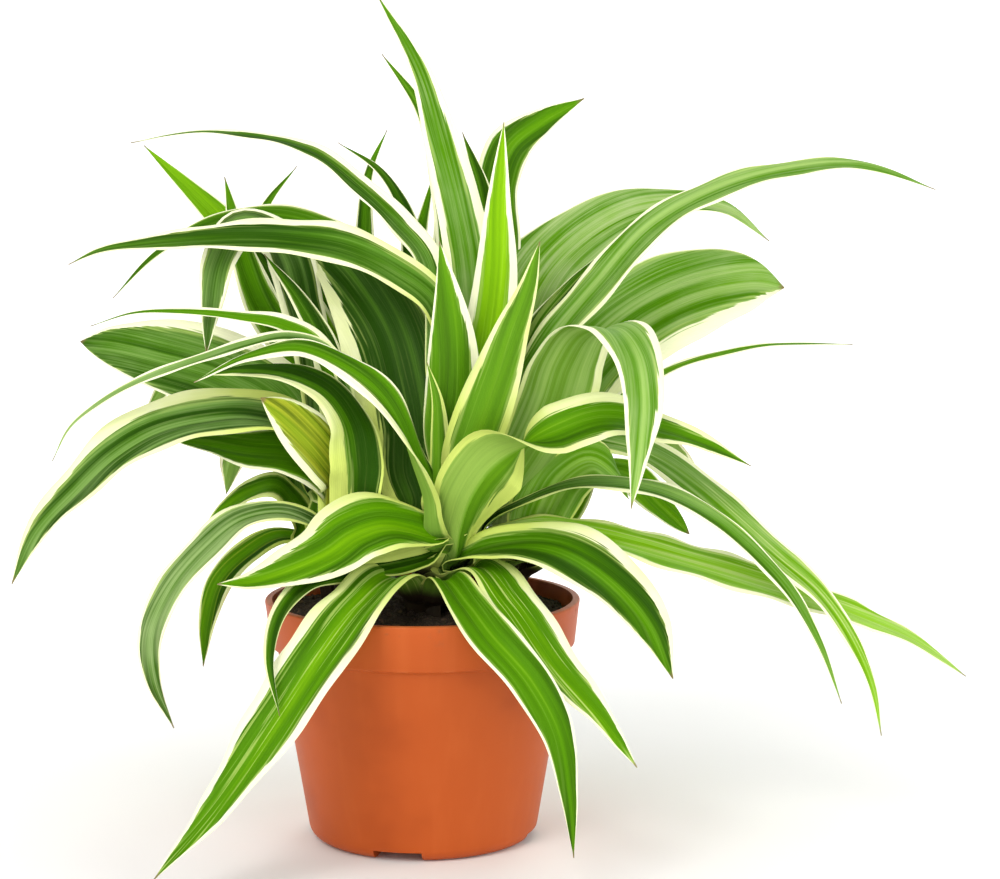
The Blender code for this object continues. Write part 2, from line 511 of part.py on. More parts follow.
def leaf_mesh(name, stops, outwards, width, face_root, face_tip, shape=LEAF_SHAPE):
    """A thin blade folded along its midrib, split into triangles alike on both faces."""
    length = np.linalg.norm(np.diff(stops, axis=0), axis=1).sum()
    count = max(8, round(length / LEAF_SPACING))
    stations, heading = along_curve(stops, count)
    share = np.linspace(0, 1, count)
    blend = share[:, None]
    looks = np.array(face_root) * (1 - blend) + np.array(face_tip) * blend
    looks = np.stack([looks[:, 0], -looks[:, 1], looks[:, 2]], axis=1)
    wrap = np.clip(1 - blend / LEAF_TURN_IN, 0, 1)
    looks = looks * (1 - wrap) + (np.array([0, 0, 0.5]) - outwards) * wrap
    looks -= (looks * heading).sum(axis=1)[:, None] * heading
    upper = looks / np.linalg.norm(looks, axis=1)[:, None]
    side = np.cross(upper, heading)
    half = leaf_half_width(share, width, shape)[:, None]
    fold = np.radians(np.interp(share, *zip(*LEAF_FOLD)))[:, None]
    middle_lift = upper * LEAF_THICKNESS[0] / 2
    edge_lift = upper * LEAF_THICKNESS[1] / 2
    spread = side * half * np.cos(fold)
    raised = upper * half * np.sin(fold)
    rings = np.stack([stations - spread + raised + edge_lift, stations + middle_lift,
                      stations + spread + raised + edge_lift, stations + spread + raised - edge_lift,
                      stations - middle_lift, stations - spread + raised - edge_lift], axis=1)
    faces = []
    for ring in range(count - 1):
        here, there = ring * 6, ring * 6 + 6
        for k in range(6):
            after = (k + 1) % 6
            if k in (0, 2, 3):
                faces += [(here + k, there + after, here + after), (here + k, there + k, there + after)]
            else:
                faces += [(here + k, there + k, here + after), (here + after, there + k, there + after)]
    last = (count - 1) * 6
    faces += [(0, 1, 4), (0, 4, 5), (1, 2, 3), (1, 3, 4)]
    faces += [(last, last + 4, last + 1), (last, last + 5, last + 4)]
    faces += [(last + 1, last + 3, last + 2), (last + 1, last + 4, last + 3)]
    mesh = bpy.data.meshes.new(name)
    mesh.from_pydata(rings.reshape(-1, 3).tolist(), [], faces)
    return mesh


def make_leaf(name, spec, finish):
    """A leaf that stands a small gap off its stem."""
    stem, root_height, width, face_root, face_tip, route = spec
    stops, outwards = leaf_route(stem, root_height, route, sunk=False)
    shape = LEAF_SHAPES.get(name, LEAF_SHAPE)
    return place(name, leaf_mesh(name, stops, outwards, width, face_root, face_tip, shape), finish)


def make_offset(name, stem, leaves, finish):
    """A stem with its leaves fused to it."""
    whole = make_stem(name, stem, finish)
    blades = []
    for root_height, width, face_root, face_tip, route in leaves:
        stops, outwards = leaf_route(stem, root_height, route, sunk=True)
        blade = leaf_mesh("blade", stops, outwards, width, face_root, face_tip)
        blades.append(place("blade", blade, finish))
    combine(whole, blades, "UNION", "MANIFOLD")


def main():
    for thing in list(bpy.data.objects):
        bpy.data.objects.remove(thing)
    terracotta = material("pot_plastic", (0.56, 0.16, 0.055), 0.42)
    earth = material("soil", (0.022, 0.017, 0.013), 0.95)
    pale_stem = material("stem", (0.36, 0.47, 0.13), 0.5)
    blade = material("leaf", (0.12, 0.30, 0.03), 0.38)
    make_pot(terracotta)
    make_soil(earth)
    for stem in ("main", "left", "left_back", "right", "right_back"):
        make_stem("stem_" + stem, stem, pale_stem)
    for name, spec in LEAVES.items():
        make_leaf(name, spec, blade)
    for name, (stem, leaves) in OFFSET_LEAVES.items():
        make_offset(name, stem, leaves, blade)


main()
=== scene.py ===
# Potted spider plant: its leaves, stems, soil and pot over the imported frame
import json
import math

import bmesh
import bpy
import numpy as np
from mathutils import Matrix

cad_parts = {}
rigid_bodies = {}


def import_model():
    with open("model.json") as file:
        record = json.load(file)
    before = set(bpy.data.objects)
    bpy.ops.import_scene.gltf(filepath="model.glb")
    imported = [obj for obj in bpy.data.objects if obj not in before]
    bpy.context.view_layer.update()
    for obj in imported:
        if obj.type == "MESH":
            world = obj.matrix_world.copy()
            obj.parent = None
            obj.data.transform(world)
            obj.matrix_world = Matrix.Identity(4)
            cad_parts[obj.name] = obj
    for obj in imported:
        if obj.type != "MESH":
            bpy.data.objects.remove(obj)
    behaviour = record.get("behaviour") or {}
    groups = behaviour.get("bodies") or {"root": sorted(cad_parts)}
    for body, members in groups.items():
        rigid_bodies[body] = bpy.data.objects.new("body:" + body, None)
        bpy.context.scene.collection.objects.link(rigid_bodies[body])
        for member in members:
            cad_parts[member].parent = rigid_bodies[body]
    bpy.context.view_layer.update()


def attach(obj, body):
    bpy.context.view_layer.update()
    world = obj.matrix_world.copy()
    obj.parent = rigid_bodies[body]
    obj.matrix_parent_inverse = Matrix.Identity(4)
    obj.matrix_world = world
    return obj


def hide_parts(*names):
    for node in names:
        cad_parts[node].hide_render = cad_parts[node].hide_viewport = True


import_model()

mm = 0.001


# A method for one operator of a Wire, with its two sides swapped in the reflected form
def sums(operation, swapped=False):
    def method(self, other):
        sides = (other, self) if swapped else (self, other)
        return self.finish.maths(operation, *sides)
    return method


class Wire:
    # A socket in a material's sums: + - * between wires and numbers add Math nodes
    __add__, __radd__ = sums("ADD"), sums("ADD", True)
    __sub__, __rsub__ = sums("SUBTRACT"), sums("SUBTRACT", True)
    __mul__, __rmul__ = sums("MULTIPLY"), sums("MULTIPLY", True)

    def __init__(self, finish, socket):
        self.finish = finish
        self.socket = socket

    def __abs__(self):
        return self.finish.maths("ABSOLUTE", self)


class Finish:
    # One material: node() adds any node, and the methods below it add the usual ones. Its look holds
    # colours, as linear red, green and blue, and steps: where each mark sets in and where it is full, on
    # the sum that it follows.
    def __init__(self, name, look, **shader):
        self.look = look
        self.material = bpy.data.materials.new(name)
        self.material.use_nodes = True
        self.tree = self.material.node_tree
        self.shader = self.tree.nodes["Principled BSDF"]
        for socket, value in shader.items():
            self.shader.inputs[socket.replace("_", " ")].default_value = value

    def node(self, kind, settings, sockets, output=0):
        made = self.tree.nodes.new(kind)
        for key, value in settings.items():
            setattr(made, key, value)
        for key, value in sockets.items():
            self.join(value, made.inputs[key])
        return Wire(self, made.outputs[output])

    def join(self, value, socket):
        if isinstance(value, Wire):
            self.tree.links.new(value.socket, socket)
        else:
            socket.default_value = value

    def maths(self, operation, *values):
        return self.node("ShaderNodeMath", {"operation": operation}, dict(enumerate(values)))

    def mix(self, first, second, share, way="MIX"):
        first, second = (self.look["colours"][item] if isinstance(item, str) else item
                         for item in (first, second))
        settings = {"data_type": "RGBA", "blend_type": way}
        return self.node("ShaderNodeMix", settings, {0: share, 6: first, 7: second}, 2)

    def step(self, key, value):
        low, high = self.look["steps"][key]
        sockets = {"Value": value, "From Min": low, "From Max": high}
        return self.node("ShaderNodeMapRange", {"interpolation_type": "SMOOTHSTEP"}, sockets)

    def point(self, x, y, z):
        return self.node("ShaderNodeCombineXYZ", {}, {0: x, 1: y, 2: z})

    def split(self, vector):
        apart = self.node("ShaderNodeSeparateXYZ", {}, {0: vector})
        return [Wire(self, output) for output in apart.socket.node.outputs]

    def parts(self, attribute):
        return self.split(self.node("ShaderNodeAttribute", {"attribute_name": attribute}, {}, "Vector"))

    def place(self):
        return self.node("ShaderNodeTexCoord", {}, {}, "Object")

    def noise(self, vector, scale=1.0, detail=2, roughness=0.5):
        sockets = {"Vector": vector, "Scale": scale, "Detail": detail, "Roughness": roughness}
        return self.node("ShaderNodeTexNoise", {}, sockets)

    def relief(self, height, strength, distance):
        sockets = {"Height": height, "Strength": strength, "Distance": distance}
        self.join(self.node("ShaderNodeBump", {}, sockets), self.shader.inputs["Normal"])

    def show(self, colour, roughness):
        self.join(colour, self.shader.inputs["Base Color"])
        self.join(roughness, self.shader.inputs["Roughness"])


# Sheet of quads over a grid of points (rows, columns, 3). The columns close into a ring, and the first
# and last rings may be closed with strips between their two halves.
def gridMesh(name, points, capped):
    rows, columns = points.shape[:2]
    row = np.arange(rows - 1)[:, None] * columns
    here = np.arange(columns)[None, :]
    after = (here + 1) % columns
    quads = np.stack([row + here, row + columns + here, row + columns + after, row + after], axis=2)
    faces = [quads.reshape(-1, 4)]
    if capped:
        half = np.arange(columns // 2 - 1)
        back = columns - 1 - half
        first = np.stack([half, half + 1, back - 1, back], axis=1)
        last = (rows - 1) * columns + np.stack([half, back, back - 1, half + 1], axis=1)
        faces += [first, last]
    return listMesh(name, points, np.concatenate(faces))


# A mesh of points and the faces that list them
def listMesh(name, points, faces):
    mesh = bpy.data.meshes.new(name)
    mesh.from_pydata(points.reshape(-1, 3).tolist(), [], faces.tolist())
    return mesh


# Three values on each point of a mesh, for its material; each may be one number, a row or a grid
def keep(mesh, attribute, shape, values):
    stack = np.stack([np.broadcast_to(value, shape) for value in values], axis=2)
    layer = mesh.attributes.new(attribute, "FLOAT_VECTOR", "POINT")
    layer.data.foreach_set("vector", np.ascontiguousarray(stack, dtype=np.float32).ravel())


# The object of a finished mesh, on the part's one body
def finishPiece(name, mesh, finish, slot, *nodes, sharp=50):
    mesh.materials.append(finish.material)
    mesh.shade_smooth()
    mesh.set_sharp_from_angle(angle=math.radians(sharp))
    piece = bpy.data.objects.new(name, mesh)
    bpy.context.scene.collection.objects.link(piece)
    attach(piece, "root")
    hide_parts(*nodes)


# Look of the leaves. Streaks run along a blade: scale across and along, shift of the seed, detail.
leafLook = {
    "colours": {
        "deep": (0.018, 0.066, 0.001, 1),
        "middle": (0.080, 0.240, 0.001, 1),
        "bright": (0.260, 0.540, 0.004, 1),
        "stripe": (0.50, 0.64, 0.16, 1),
        "cream": (0.93, 0.93, 0.64, 1),
        "lime": (0.62, 0.72, 0.16, 1),
        # A painted grey-green sheen of reflected light, laid in streaks over the broad leaves
        "sheen": (0.42, 0.53, 0.24, 1),
        "under": (0.30, 0.46, 0.08, 1),
        "old": (0.46, 0.50, 0.03, 1),
        "sheath": (0.10, 0.16, 0.02, 1),
        # Near-black on the feet of the low blades: dry leaf bases and painted shade over the soil
        "shadedHusk": (0.026, 0.018, 0.010, 1),
        "dry": (0.22, 0.15, 0.07, 1),
    },
    "streaks": {
        "broad": (0.22, 0.007, 0, 1),
        "fine": (0.85, 0.012, 7, 3),
        "hair": (3.2, 0.03, 13, 1),
        "ragged": (1.1, 0.028, 19, 2),
        "cloudy": (0.09, 0.05, 23, 2),
    },
    "steps": {
        "middle": (0.0, 0.5),
        "bright": (0.42, 1.05),
        "lines": (0.68, 0.76),
        "sheenStreaks": (0.85, 1.3),
        "aged": (0.25, 0.75),
        "halfTone": (-0.03, 0.05),
        "broken": (0.4, 0.6),
        "rim": (-0.012, 0.028),
        "youth": (0.65, 0.05),
        "lime": (0.1, 1.0),
        "sheath": (0.01, -0.04),
        "shadedHusk": (116 * mm, 104 * mm),
        "foot": (0.14, 0.06),
        "dry": (0.975, 0.997),
    },
}


# Colour of a blade: greens striped along it, a ragged cream margin, a paler underside (on a folded root,
# its lit half painted paler than its shaded half), streaks of painted grey-green sheen, a dull sheath,
# feet near the soil darkened as dry leaf bases and as painted shade, and a dry tip. It reads the blade's
# own attributes: spread (-1 to 1 across, share along and below 0 in the sheath, paleness), grain (mm
# across, mm along, seed), trim (margin's share of the half width, tone, painted sheen) and habit
# (stripes, lime, age).
def leafFinish(name, look):
    leaf = Finish(name, look, Specular_IOR_Level=0.05)
    across, along, paleness = leaf.parts("spread")
    height = leaf.split(leaf.place())[2]
    wide, far, seed = leaf.parts("grain")
    margin, tone, paintedSheen = leaf.parts("trim")
    stripes, lime, age = leaf.parts("habit")
    edge = 1 - abs(across)
    streaks = []
    for acrossScale, alongScale, shift, detail in look["streaks"].values():
        where = leaf.point(wide * acrossScale, far * alongScale, seed + shift)
        streaks.append(leaf.noise(where, detail=detail))
    broad, fine, hair, ragged, cloudy = streaks

    depth = tone * 0.9 + (broad - 0.5) + (fine - 0.5) * 0.34 + edge * 0.16 - 0.06
    green = leaf.mix("deep", "middle", leaf.step("middle", depth))
    green = leaf.mix(green, "bright", leaf.step("bright", depth))
    lines = leaf.step("lines", fine + hair * 0.25) * (0.05 + stripes * 0.75)
    green = leaf.mix(green, "stripe", lines)
    # Painted sheen: grey-green streaks of reflected light over the blade, in the share each leaf sets
    sheenStreaks = leaf.step("sheenStreaks", broad * 0.9 + fine * 0.6 + hair * 0.3 + cloudy * 0.3)
    green = leaf.mix(green, "sheen", paintedSheen * sheenStreaks)
    green = leaf.mix(green, "old", leaf.step("aged", age * 0.9 + (fine - 0.5) * 0.8))

    reach = margin * (0.72 + cloudy * 0.55 + (ragged - 0.5) * 0.85)
    halfTone = leaf.step("halfTone", reach * 1.25 + 0.05 - edge) * leaf.step("broken", fine)
    green = leaf.mix(green, "stripe", halfTone * 0.4)
    green = leaf.mix(green, "under", paleness * (0.7 + fine * 0.6))
    limeShare = leaf.step("lime", lime + leaf.step("youth", along) + (cloudy - 0.5) * 0.5)
    pale = leaf.mix("cream", "lime", limeShare)
    colour = leaf.mix(green, pale, leaf.step("rim", reach - edge))
    colour = leaf.mix(colour, "sheath", leaf.step("sheath", along) * 0.9)
    # Painted shade and dry leaf bases: the low blades' feet turn near-black below a height near the soil
    shadedHusk = leaf.step("shadedHusk", height + along * 90 * mm) * leaf.step("foot", along)
    colour = leaf.mix(colour, "shadedHusk", shadedHusk)
    dry = leaf.step("dry", along + (fine - 0.5) * 0.02 + age * 0.02)
    colour = leaf.mix(colour, "dry", dry * 0.85)
    shade = 0.90 + hair * 0.2
    colour = leaf.mix(colour, leaf.point(shade, shade, shade), 1.0, "MULTIPLY")

    leaf.show(colour, 0.42 + fine * 0.14 + dry * 0.3)
    ribs = leaf.maths("SINE", wide * 7.5)
    leaf.relief(fine * 0.8 + hair * 0.45 + ribs * 0.12, strength=0.5, distance=0.25 * mm)
    return leaf


# Where the routes are laid out: on a front view of the plant, in millimetres across, up and nearer
viewer = np.array([30.5, -1000.0, 283.0]) * mm
plantMiddle = 1.0

# The ways an upper face looks (across, towards the viewer, up), and the pairs that several leaves share:
# past the root and at the tip
sky = (0, 0.3, 0.95)
tilted = (0, 0.62, 0.78)
steep = (0, 0.88, 0.47)
viewerwards = (0, 0.97, 0.25)
fromViewer = (0, -0.97, 0.25)
away = (0, -0.5, 0.86)
arching = (sky, tilted)
leaning = (viewerwards, tilted)
upright = (viewerwards, viewerwards)
undersideOut = (fromViewer, fromViewer)
rearwards = (away, away)

# Stems lean from their foot in the soil to their top; millimetres
stems = {
    "main": {"foot": (3, -6, 92), "top": (10, -4, 138), "radius": (10, 6)},
    "left": {"foot": (-26, 0, 91), "top": (-30, 1, 132), "radius": (8, 4.5)},
    "left_back": {"foot": (-34, 20, 91), "top": (-37, 21, 132), "radius": (7, 4)},
    "right": {"foot": (28, 10, 91), "top": (32, 11, 134), "radius": (7.5, 4.5)},
    "right_back": {"foot": (34, 30, 91), "top": (38, 32, 132), "radius": (7, 4)},
    "back_left": {"foot": (-16, 41, 91), "top": (-20, 45, 130), "radius": (7, 4)},
    "back_right": {"foot": (10, 42, 91), "top": (13, 47, 128), "radius": (7, 4)},
}

# Each leaf: its stem and the height of its root there, its width, the ways its upper face looks, cream
# margins on its two sides as shares of the half width, tone from deep to bright green, and its midrib's
# route. A leaf may say more, or it takes what bladeMake says:
#   rootShare, widest, taper: its width at the root as a share, where it is widest, how blunt it ends
#   turns: the shares of its length between which its face turns
#   folded, keel: how much more its root folds, and how round the fold is
#   clasps, sheathTurn, opens: whether its root clasps the stem, how far round, and over what length
#   grows, ripens: how much the margins widen and the tone lightens towards the tip
#   paleUnderAndLit: how pale its underside is, all over or on its two sides; where the sides differ, the
#       lit
#   half is painted paler and the shaded half darker
#   stripes, lime, bloom, old: pale lines, greener margins, a painted grey-green sheen, yellowing
leaves = {
    "leaf_front_long_left": dict(
        stem="main", root=95, width=28, faces=arching, margins=(0.3, 0.2), tone=0.45, stripes=0.6,
        rootShare=0.75,
        route=[(-10, 101, 27), (-27, 91, 55), (-41, 73, 72), (-59, 46, 82), (-85, 8, 92),
               (-109, -20, 98)]),
    "leaf_front_centre": dict(
        stem="main", root=94, width=18, faces=(sky, viewerwards), margins=(0.13, 0.15), tone=0.32,
        rootShare=0.8,
        route=[(7, 100, 28), (17, 91, 55), (26, 79, 70), (42, 60, 82), (52, 41, 89), (57, 14, 94),
               (59, -11, 98)]),
    "leaf_front_right": dict(
        stem="main", root=102, width=21, faces=arching, margins=(0.18, 0.34), tone=0.5, stripes=1.0,
        rootShare=0.7,
        route=[(20, 106, 25), (35, 92, 50), (53, 66, 66), (70, 46, 77), (84, 26, 84)]),
    "leaf_right_broad": dict(
        stem="main", root=98, width=32, faces=arching, margins=(0.12, 0.5), tone=0.22, grows=-0.3,
        lime=0.35, rootShare=0.4, widest=0.42, taper=2.0,
        route=[(9, 105, 16), (18, 111.5, 21), (31, 115, 28), (53, 114, 42), (73, 102, 54), (89, 84, 64),
               (98, 62, 72)]),
    "leaf_left_broad": dict(
        stem="main", root=113, width=34, faces=(tilted, tilted), margins=(0.1, 0.05), tone=0.45,
        grows=4, lime=0.35, rootShare=0.3, widest=0.42,
        route=[(8, 117, 16), (0, 120, 20), (-8, 122.5, 25), (-17, 123.5, 31), (-29, 119.5, 38),
               (-38, 113, 44), (-53, 106, 51), (-69, 101, 56), (-82, 100, 61)]),
    "leaf_left_droop_small": dict(
        stem="main", root=108, width=9, faces=(tilted, viewerwards), margins=(0.8, 0.12), tone=0.15,
        grows=-0.6, lime=0.5, rootShare=1.9,
        route=[(9, 113, 17), (-1, 110.5, 20), (-14, 107.5, 26), (-30, 105, 36), (-46, 101, 47),
               (-57, 90, 62), (-62, 71, 77), (-58, 47, 86)]),
    # Its underside shows at the root: the lit left half is painted paler than the shaded right half
    "leaf_right_shelf": dict(
        stem="main", root=110, width=35, faces=((-0.1, -1.0, 0.3), tilted), margins=(0.2, 0.44),
        tone=0.34, lime=0.5, paleUnderAndLit=(0.8, 0.1), turns=(0.3, 0.5), folded=1.35, keel=0.05, opens=10,
        sheathTurn=26, rootShare=0.5, widest=0.26,
        route=[(14, 121, 22), (19, 135, 28), (27, 146, 32), (36, 153, 33), (50, 159.5, 33),
               (69, 166, 31), (92, 162, 29), (112, 155, 27), (128, 147, 25)]),
    "leaf_curled": dict(
        stem="main", root=111, width=33, faces=((-0.2, -1.0, 0.5), (0.3, 0.9, 0.1)),
        margins=(0.03, 0.05), tone=0.55, grows=7, paintedSheen=0.45, lime=0.2, rootShare=0.7, widest=0.44,
        route=[(22, 123, 1), (34, 139, 2), (45, 156, 3), (52, 172, 4), (57, 187, 6), (64, 198, 11),
               (74, 200.5, 21), (82, 191, 33), (85, 174, 41), (84, 155, 46), (81, 130, 50)]),
    "leaf_left_arch": dict(
        stem="main", root=119, width=17, faces=((0.9, 0.1, 0.45), tilted), margins=(0.1, 0.32),
        tone=0.34, grows=1, paleUnderAndLit=0.6, turns=(0.24, 0.5), folded=2.0, keel=0.06, clasps=False,
        rootShare=1.4, widest=0.3,
        route=[(0, 133, 19), (-4.5, 148, 22), (-9.5, 162, 24), (-18, 175.5, 25), (-33, 187, 26),
               (-49, 193, 27), (-68, 190, 27), (-90, 180, 26)]),
    "leaf_dark_broad": dict(
        stem="main", root=116, width=39, faces=upright, margins=(0.05, 0.38), tone=0.0, paintedSheen=0.05,
        lime=0.5, rootShare=0.57, widest=0.55,
        route=[(-3.5, 132, 6), (-7, 145, 1), (-7, 161, -7), (-10, 179, -14), (-16, 200, -21),
               (-25, 215, -26), (-34, 226, -31), (-41, 231, -37), (-49, 227, -44)]),
    "leaf_upper_left_arch": dict(
        stem="main", root=131, width=18, faces=leaning, margins=(0.36, 0.2), tone=0.24, paintedSheen=0.1,
        lime=0.3, rootShare=0.15, widest=0.56,
        route=[(10, 152, 5), (10, 175, 0), (9.5, 195, -2), (4, 212, -2), (-11, 224, -2), (-30, 233, -4),
               (-49, 236, -6), (-70, 237, -9), (-88, 236, -12), (-109, 234, -16), (-127, 231, -20),
               (-138, 226, -23)]),
    "leaf_upper_left_long": dict(
        stem="main", root=127, width=12, faces=(viewerwards, sky), margins=(0.62, 0.12), tone=0.3,
        paintedSheen=0.3,
        route=[(8, 158, -3), (5, 180, -7), (5, 214, -10), (1, 230, -14), (-10, 243, -18),
               (-25, 257, -23), (-41, 269, -26), (-69, 276, -30), (-88, 277, -33), (-113, 273, -36)]),
    "leaf_upper_left_droop": dict(
        stem="main", root=124, width=12, faces=leaning, margins=(0.2, 0.22), tone=0.36,
        route=[(0, 176, -20), (-10, 210, -32), (-30, 236, -42), (-53, 245, -44), (-72, 245, -42),
               (-90, 239, -38), (-104, 230, -35), (-121, 213, -31)]),
    "leaf_centre_left": dict(
        stem="main", root=132, width=22, faces=undersideOut, margins=(0.02, 0.06), tone=0.45, grows=7,
        paleUnderAndLit=0.05, rootShare=0.7,
        route=[(9, 160, 8), (11, 178, 8), (11, 196, 9), (9, 216, 10), (6, 235, 9)]),
    "leaf_centre_right": dict(
        stem="main", root=120, width=22.5, faces=undersideOut, margins=(0.3, 0.24), tone=0.4, lime=0.6,
        paleUnderAndLit=0.1, rootShare=0.75, widest=0.4,
        route=[(17, 150, 18), (23, 168, 20), (29, 185, 20), (34, 200, 20), (40, 216, 19),
               (45, 235, 17)]),
    "leaf_centre_tall": dict(
        stem="main", root=130, width=20, faces=upright, margins=(0.38, 0.32), tone=0.8, rootShare=0.6,
        route=[(20, 163, -3), (24, 190, -5), (28, 222, -6), (29, 251, -9), (31, 281, -13)]),
    "leaf_young": dict(
        stem="main", root=127, width=8, faces=undersideOut, margins=(0.2, 0.42), tone=0.3, lime=0.8,
        paleUnderAndLit=0.1, rootShare=1.6,
        route=[(6, 157, 13), (5, 173, 14), (1, 188, 14)]),
    "leaf_tallest": dict(
        stem="main", root=120, width=21, faces=upright, margins=(0.4, 0.3), tone=0.5, paintedSheen=0.5,
        route=[(15, 165, -10), (19, 200, -15), (18, 225, -18), (13, 251, -21), (7, 274, -24),
               (-1, 300, -28), (-18, 330, -34)]),
    "leaf_right_arch": dict(
        stem="main", root=117, width=20, faces=arching, margins=(0.2, 0.3), tone=0.55, grows=-0.6,
        paintedSheen=0.5, rootShare=0.7,
        route=[(27, 158, -12), (40, 180, -18), (53, 200, -20), (69, 219, -22), (88, 240, -23),
               (112, 254, -24), (139, 262, -26), (170, 264, -28), (198, 255, -28)]),
    "leaf_right_long": dict(
        stem="main", root=102, width=23, faces=arching, margins=(0.16, 0.2), tone=0.95, stripes=0.8,
        paintedSheen=0.4, rootShare=0.6,
        route=[(22, 113, 3), (45, 121, 9), (69, 118, 12), (100, 110, 13), (131, 101, 12), (167, 89, 11),
               (194, 77, 10), (214, 63, 9)]),
    "leaf_right_slim": dict(
        stem="main", root=108, width=11, faces=arching, margins=(0.26, 0.2), tone=0.1, ripens=0.5,
        paintedSheen=0.3,
        route=[(24, 123, 0), (37, 131, 4), (50, 137, 9), (69, 140, 16), (88, 138, 22), (108, 130, 27),
               (126, 116, 31), (143, 98, 34), (155, 78, 36), (165, 52, 36)]),
    "leaf_left_cream_arch": dict(
        stem="left", root=110, width=22, faces=arching, margins=(0.14, 0.84), tone=0.1, grows=-0.6,
        lime=0.5, rootShare=1.0, widest=0.4,
        route=[(-27, 131, 12), (-27, 148, 15), (-30, 164, 16), (-38, 175.5, 17), (-49, 181.5, 18),
               (-68, 184.5, 18), (-85, 183, 19)]),
    "leaf_left_thin": dict(
        stem="left", root=126, width=8, faces=arching, margins=(0.4, 0.24), tone=0.3, paintedSheen=0.5,
        route=[(-28, 156, 4), (-31, 178, 7), (-39, 194, 9), (-52, 198, 11), (-69, 195, 13),
               (-88, 189, 14), (-108, 182, 15), (-127, 172, 16), (-139, 162, 17), (-146, 149, 17)]),
    "leaf_left_wavy": dict(
        stem="left", root=122, width=34, faces=arching, margins=(0.44, 0.12), tone=0.2, paintedSheen=0.3,
        lime=0.4, rootShare=0.6,
        route=[(-39, 150, 1), (-51, 162, 3), (-68, 167, 6), (-88, 166, 10), (-108, 160.5, 14),
               (-122, 152, 18), (-139, 136, 21), (-153, 121, 23), (-163, 100, 24)]),
    "leaf_left_short": dict(
        stem="left", root=107, width=30, faces=(tilted, tilted), margins=(0.12, 0.1), tone=0.4,
        rootShare=0.8,
        route=[(-33, 140, -4), (-40, 147, -2), (-53, 151.5, 0), (-69, 153, 0), (-85, 155.5, 0),
               (-98, 157, 0)]),
    "leaf_left_yellowed": dict(
        stem="left", root=116, width=21, faces=(tilted, viewerwards), margins=(0.16, 0.3), tone=0.2,
        old=0.55, lime=0.3, rootShare=0.9, widest=0.55, taper=3.0,
        route=[(-33, 141, 6), (-38, 149, 11), (-43.5, 156, 14.5), (-49.5, 162.5, 16), (-56, 168.5, 17),
               (-64, 174, 17)]),
    "leaf_left_lime": dict(
        stem="left_back", root=104, width=17, faces=arching, margins=(0.3, 0.26), tone=0.5, lime=0.7,
        route=[(-48, 124, -14), (-53, 134, -12), (-58, 139, -10), (-68, 137, -11), (-79, 130, -8),
               (-87, 122, -8)]),
    "leaf_left_drooping": dict(
        stem="left", root=101, width=18, faces=arching, margins=(0.24, 0.14), tone=0.2, paintedSheen=0.6,
        route=[(-40, 119, 10), (-54, 128, 14), (-71, 126, 17), (-87, 114, 22), (-101, 97, 26),
               (-109, 78, 28), (-108, 61, 29), (-100, 42, 29)]),
    "leaf_left_hanging": dict(
        stem="left_back", root=98, width=15, faces=arching, margins=(0.2, 0.24), tone=0.4, old=0.3,
        lime=0.5,
        route=[(-46, 116, -20), (-56, 119, -16), (-70, 112, -9), (-81, 101, -3), (-86, 85, 0),
               (-88, 67, 0)]),
    "leaf_far_left_broad": dict(
        stem="left_back", root=110, width=36, faces=(steep, steep), margins=(0.26, 0.06), tone=0.3,
        paintedSheen=0.25, widest=0.5, taper=2.8,
        route=[(-48, 146, -29), (-58, 171, -31), (-80, 184, -33), (-104, 191, -38), (-122, 195, -46),
               (-134, 196, -56)]),
    "leaf_far_left_thin": dict(
        stem="left", root=129, width=14, faces=leaning, margins=(0.5, 0.1), tone=0.4, rootShare=0.9,
        widest=0.2, taper=0.8,
        route=[(-33, 165, -4), (-37, 188, -4), (-44, 198, -5), (-54, 203, -6), (-72, 206, -9),
               (-96, 208, -12), (-114, 207, -14), (-130, 202, -15)]),
    "leaf_left_upright_short": dict(
        stem="left_back", root=126, width=14, faces=(tilted, viewerwards), margins=(0.16, 0.3),
        tone=0.2, lime=0.3,
        route=[(-34, 165, -17), (-39, 194, -20), (-49, 213, -21), (-62, 230, -20)]),
    "leaf_left_upright": dict(
        stem="left_back", root=124, width=21, faces=upright, margins=(0.1, 0.1), tone=0.1,
        route=[(-36, 156, -34), (-41, 190, -38), (-52, 214, -40), (-67, 234, -42)]),
    "leaf_left_bent": dict(
        stem="left_back", root=128, width=19, faces=leaning, margins=(0.2, 0.26), tone=0.1, paintedSheen=0.2,
        widest=0.6, taper=2.2,
        route=[(-42, 165, -24), (-47, 208, -29), (-57, 235, -28), (-70, 241, -25), (-79, 228, -20),
               (-83, 208, -17), (-85, 191, -16)]),
    "leaf_right_back_broad": dict(
        stem="right_back", root=122, width=42, faces=leaning, margins=(0.05, 0.06), tone=0.66,
        paintedSheen=0.85, widest=0.4, taper=1.0,
        route=[(30, 171, -48), (37, 202, -53), (48, 224, -57), (64, 239, -62), (82, 248, -66),
               (101, 250, -70), (118, 247, -73), (134, 235, -76)]),
    "leaf_right_broad_blunt": dict(
        stem="right_back", root=116, width=43, faces=(steep, steep), margins=(0.34, 0.04), tone=0.62,
        paintedSheen=0.55, lime=0.2, widest=0.54, taper=3.4,
        route=[(50, 158, -48), (61, 182, -51), (78, 200, -54), (98, 212, -57), (118, 218, -61),
               (131, 219, -66), (140, 217, -71)]),
    "leaf_right_thin": dict(
        stem="right_back", root=105, width=9, faces=(sky, sky), margins=(0.16, 0.45), tone=0.45,
        route=[(53, 143, -35), (70, 167, -36), (92, 183, -35), (108, 189, -33), (131, 194, -31),
               (167, 195, -30)]),
    "leaf_right_needle": dict(
        stem="right", root=129, width=9, faces=(tilted, tilted), margins=(0.2, 0.2), tone=0.2,
        route=[(42, 172, -22), (54, 194, -28), (66, 213, -29), (80, 229, -30)]),
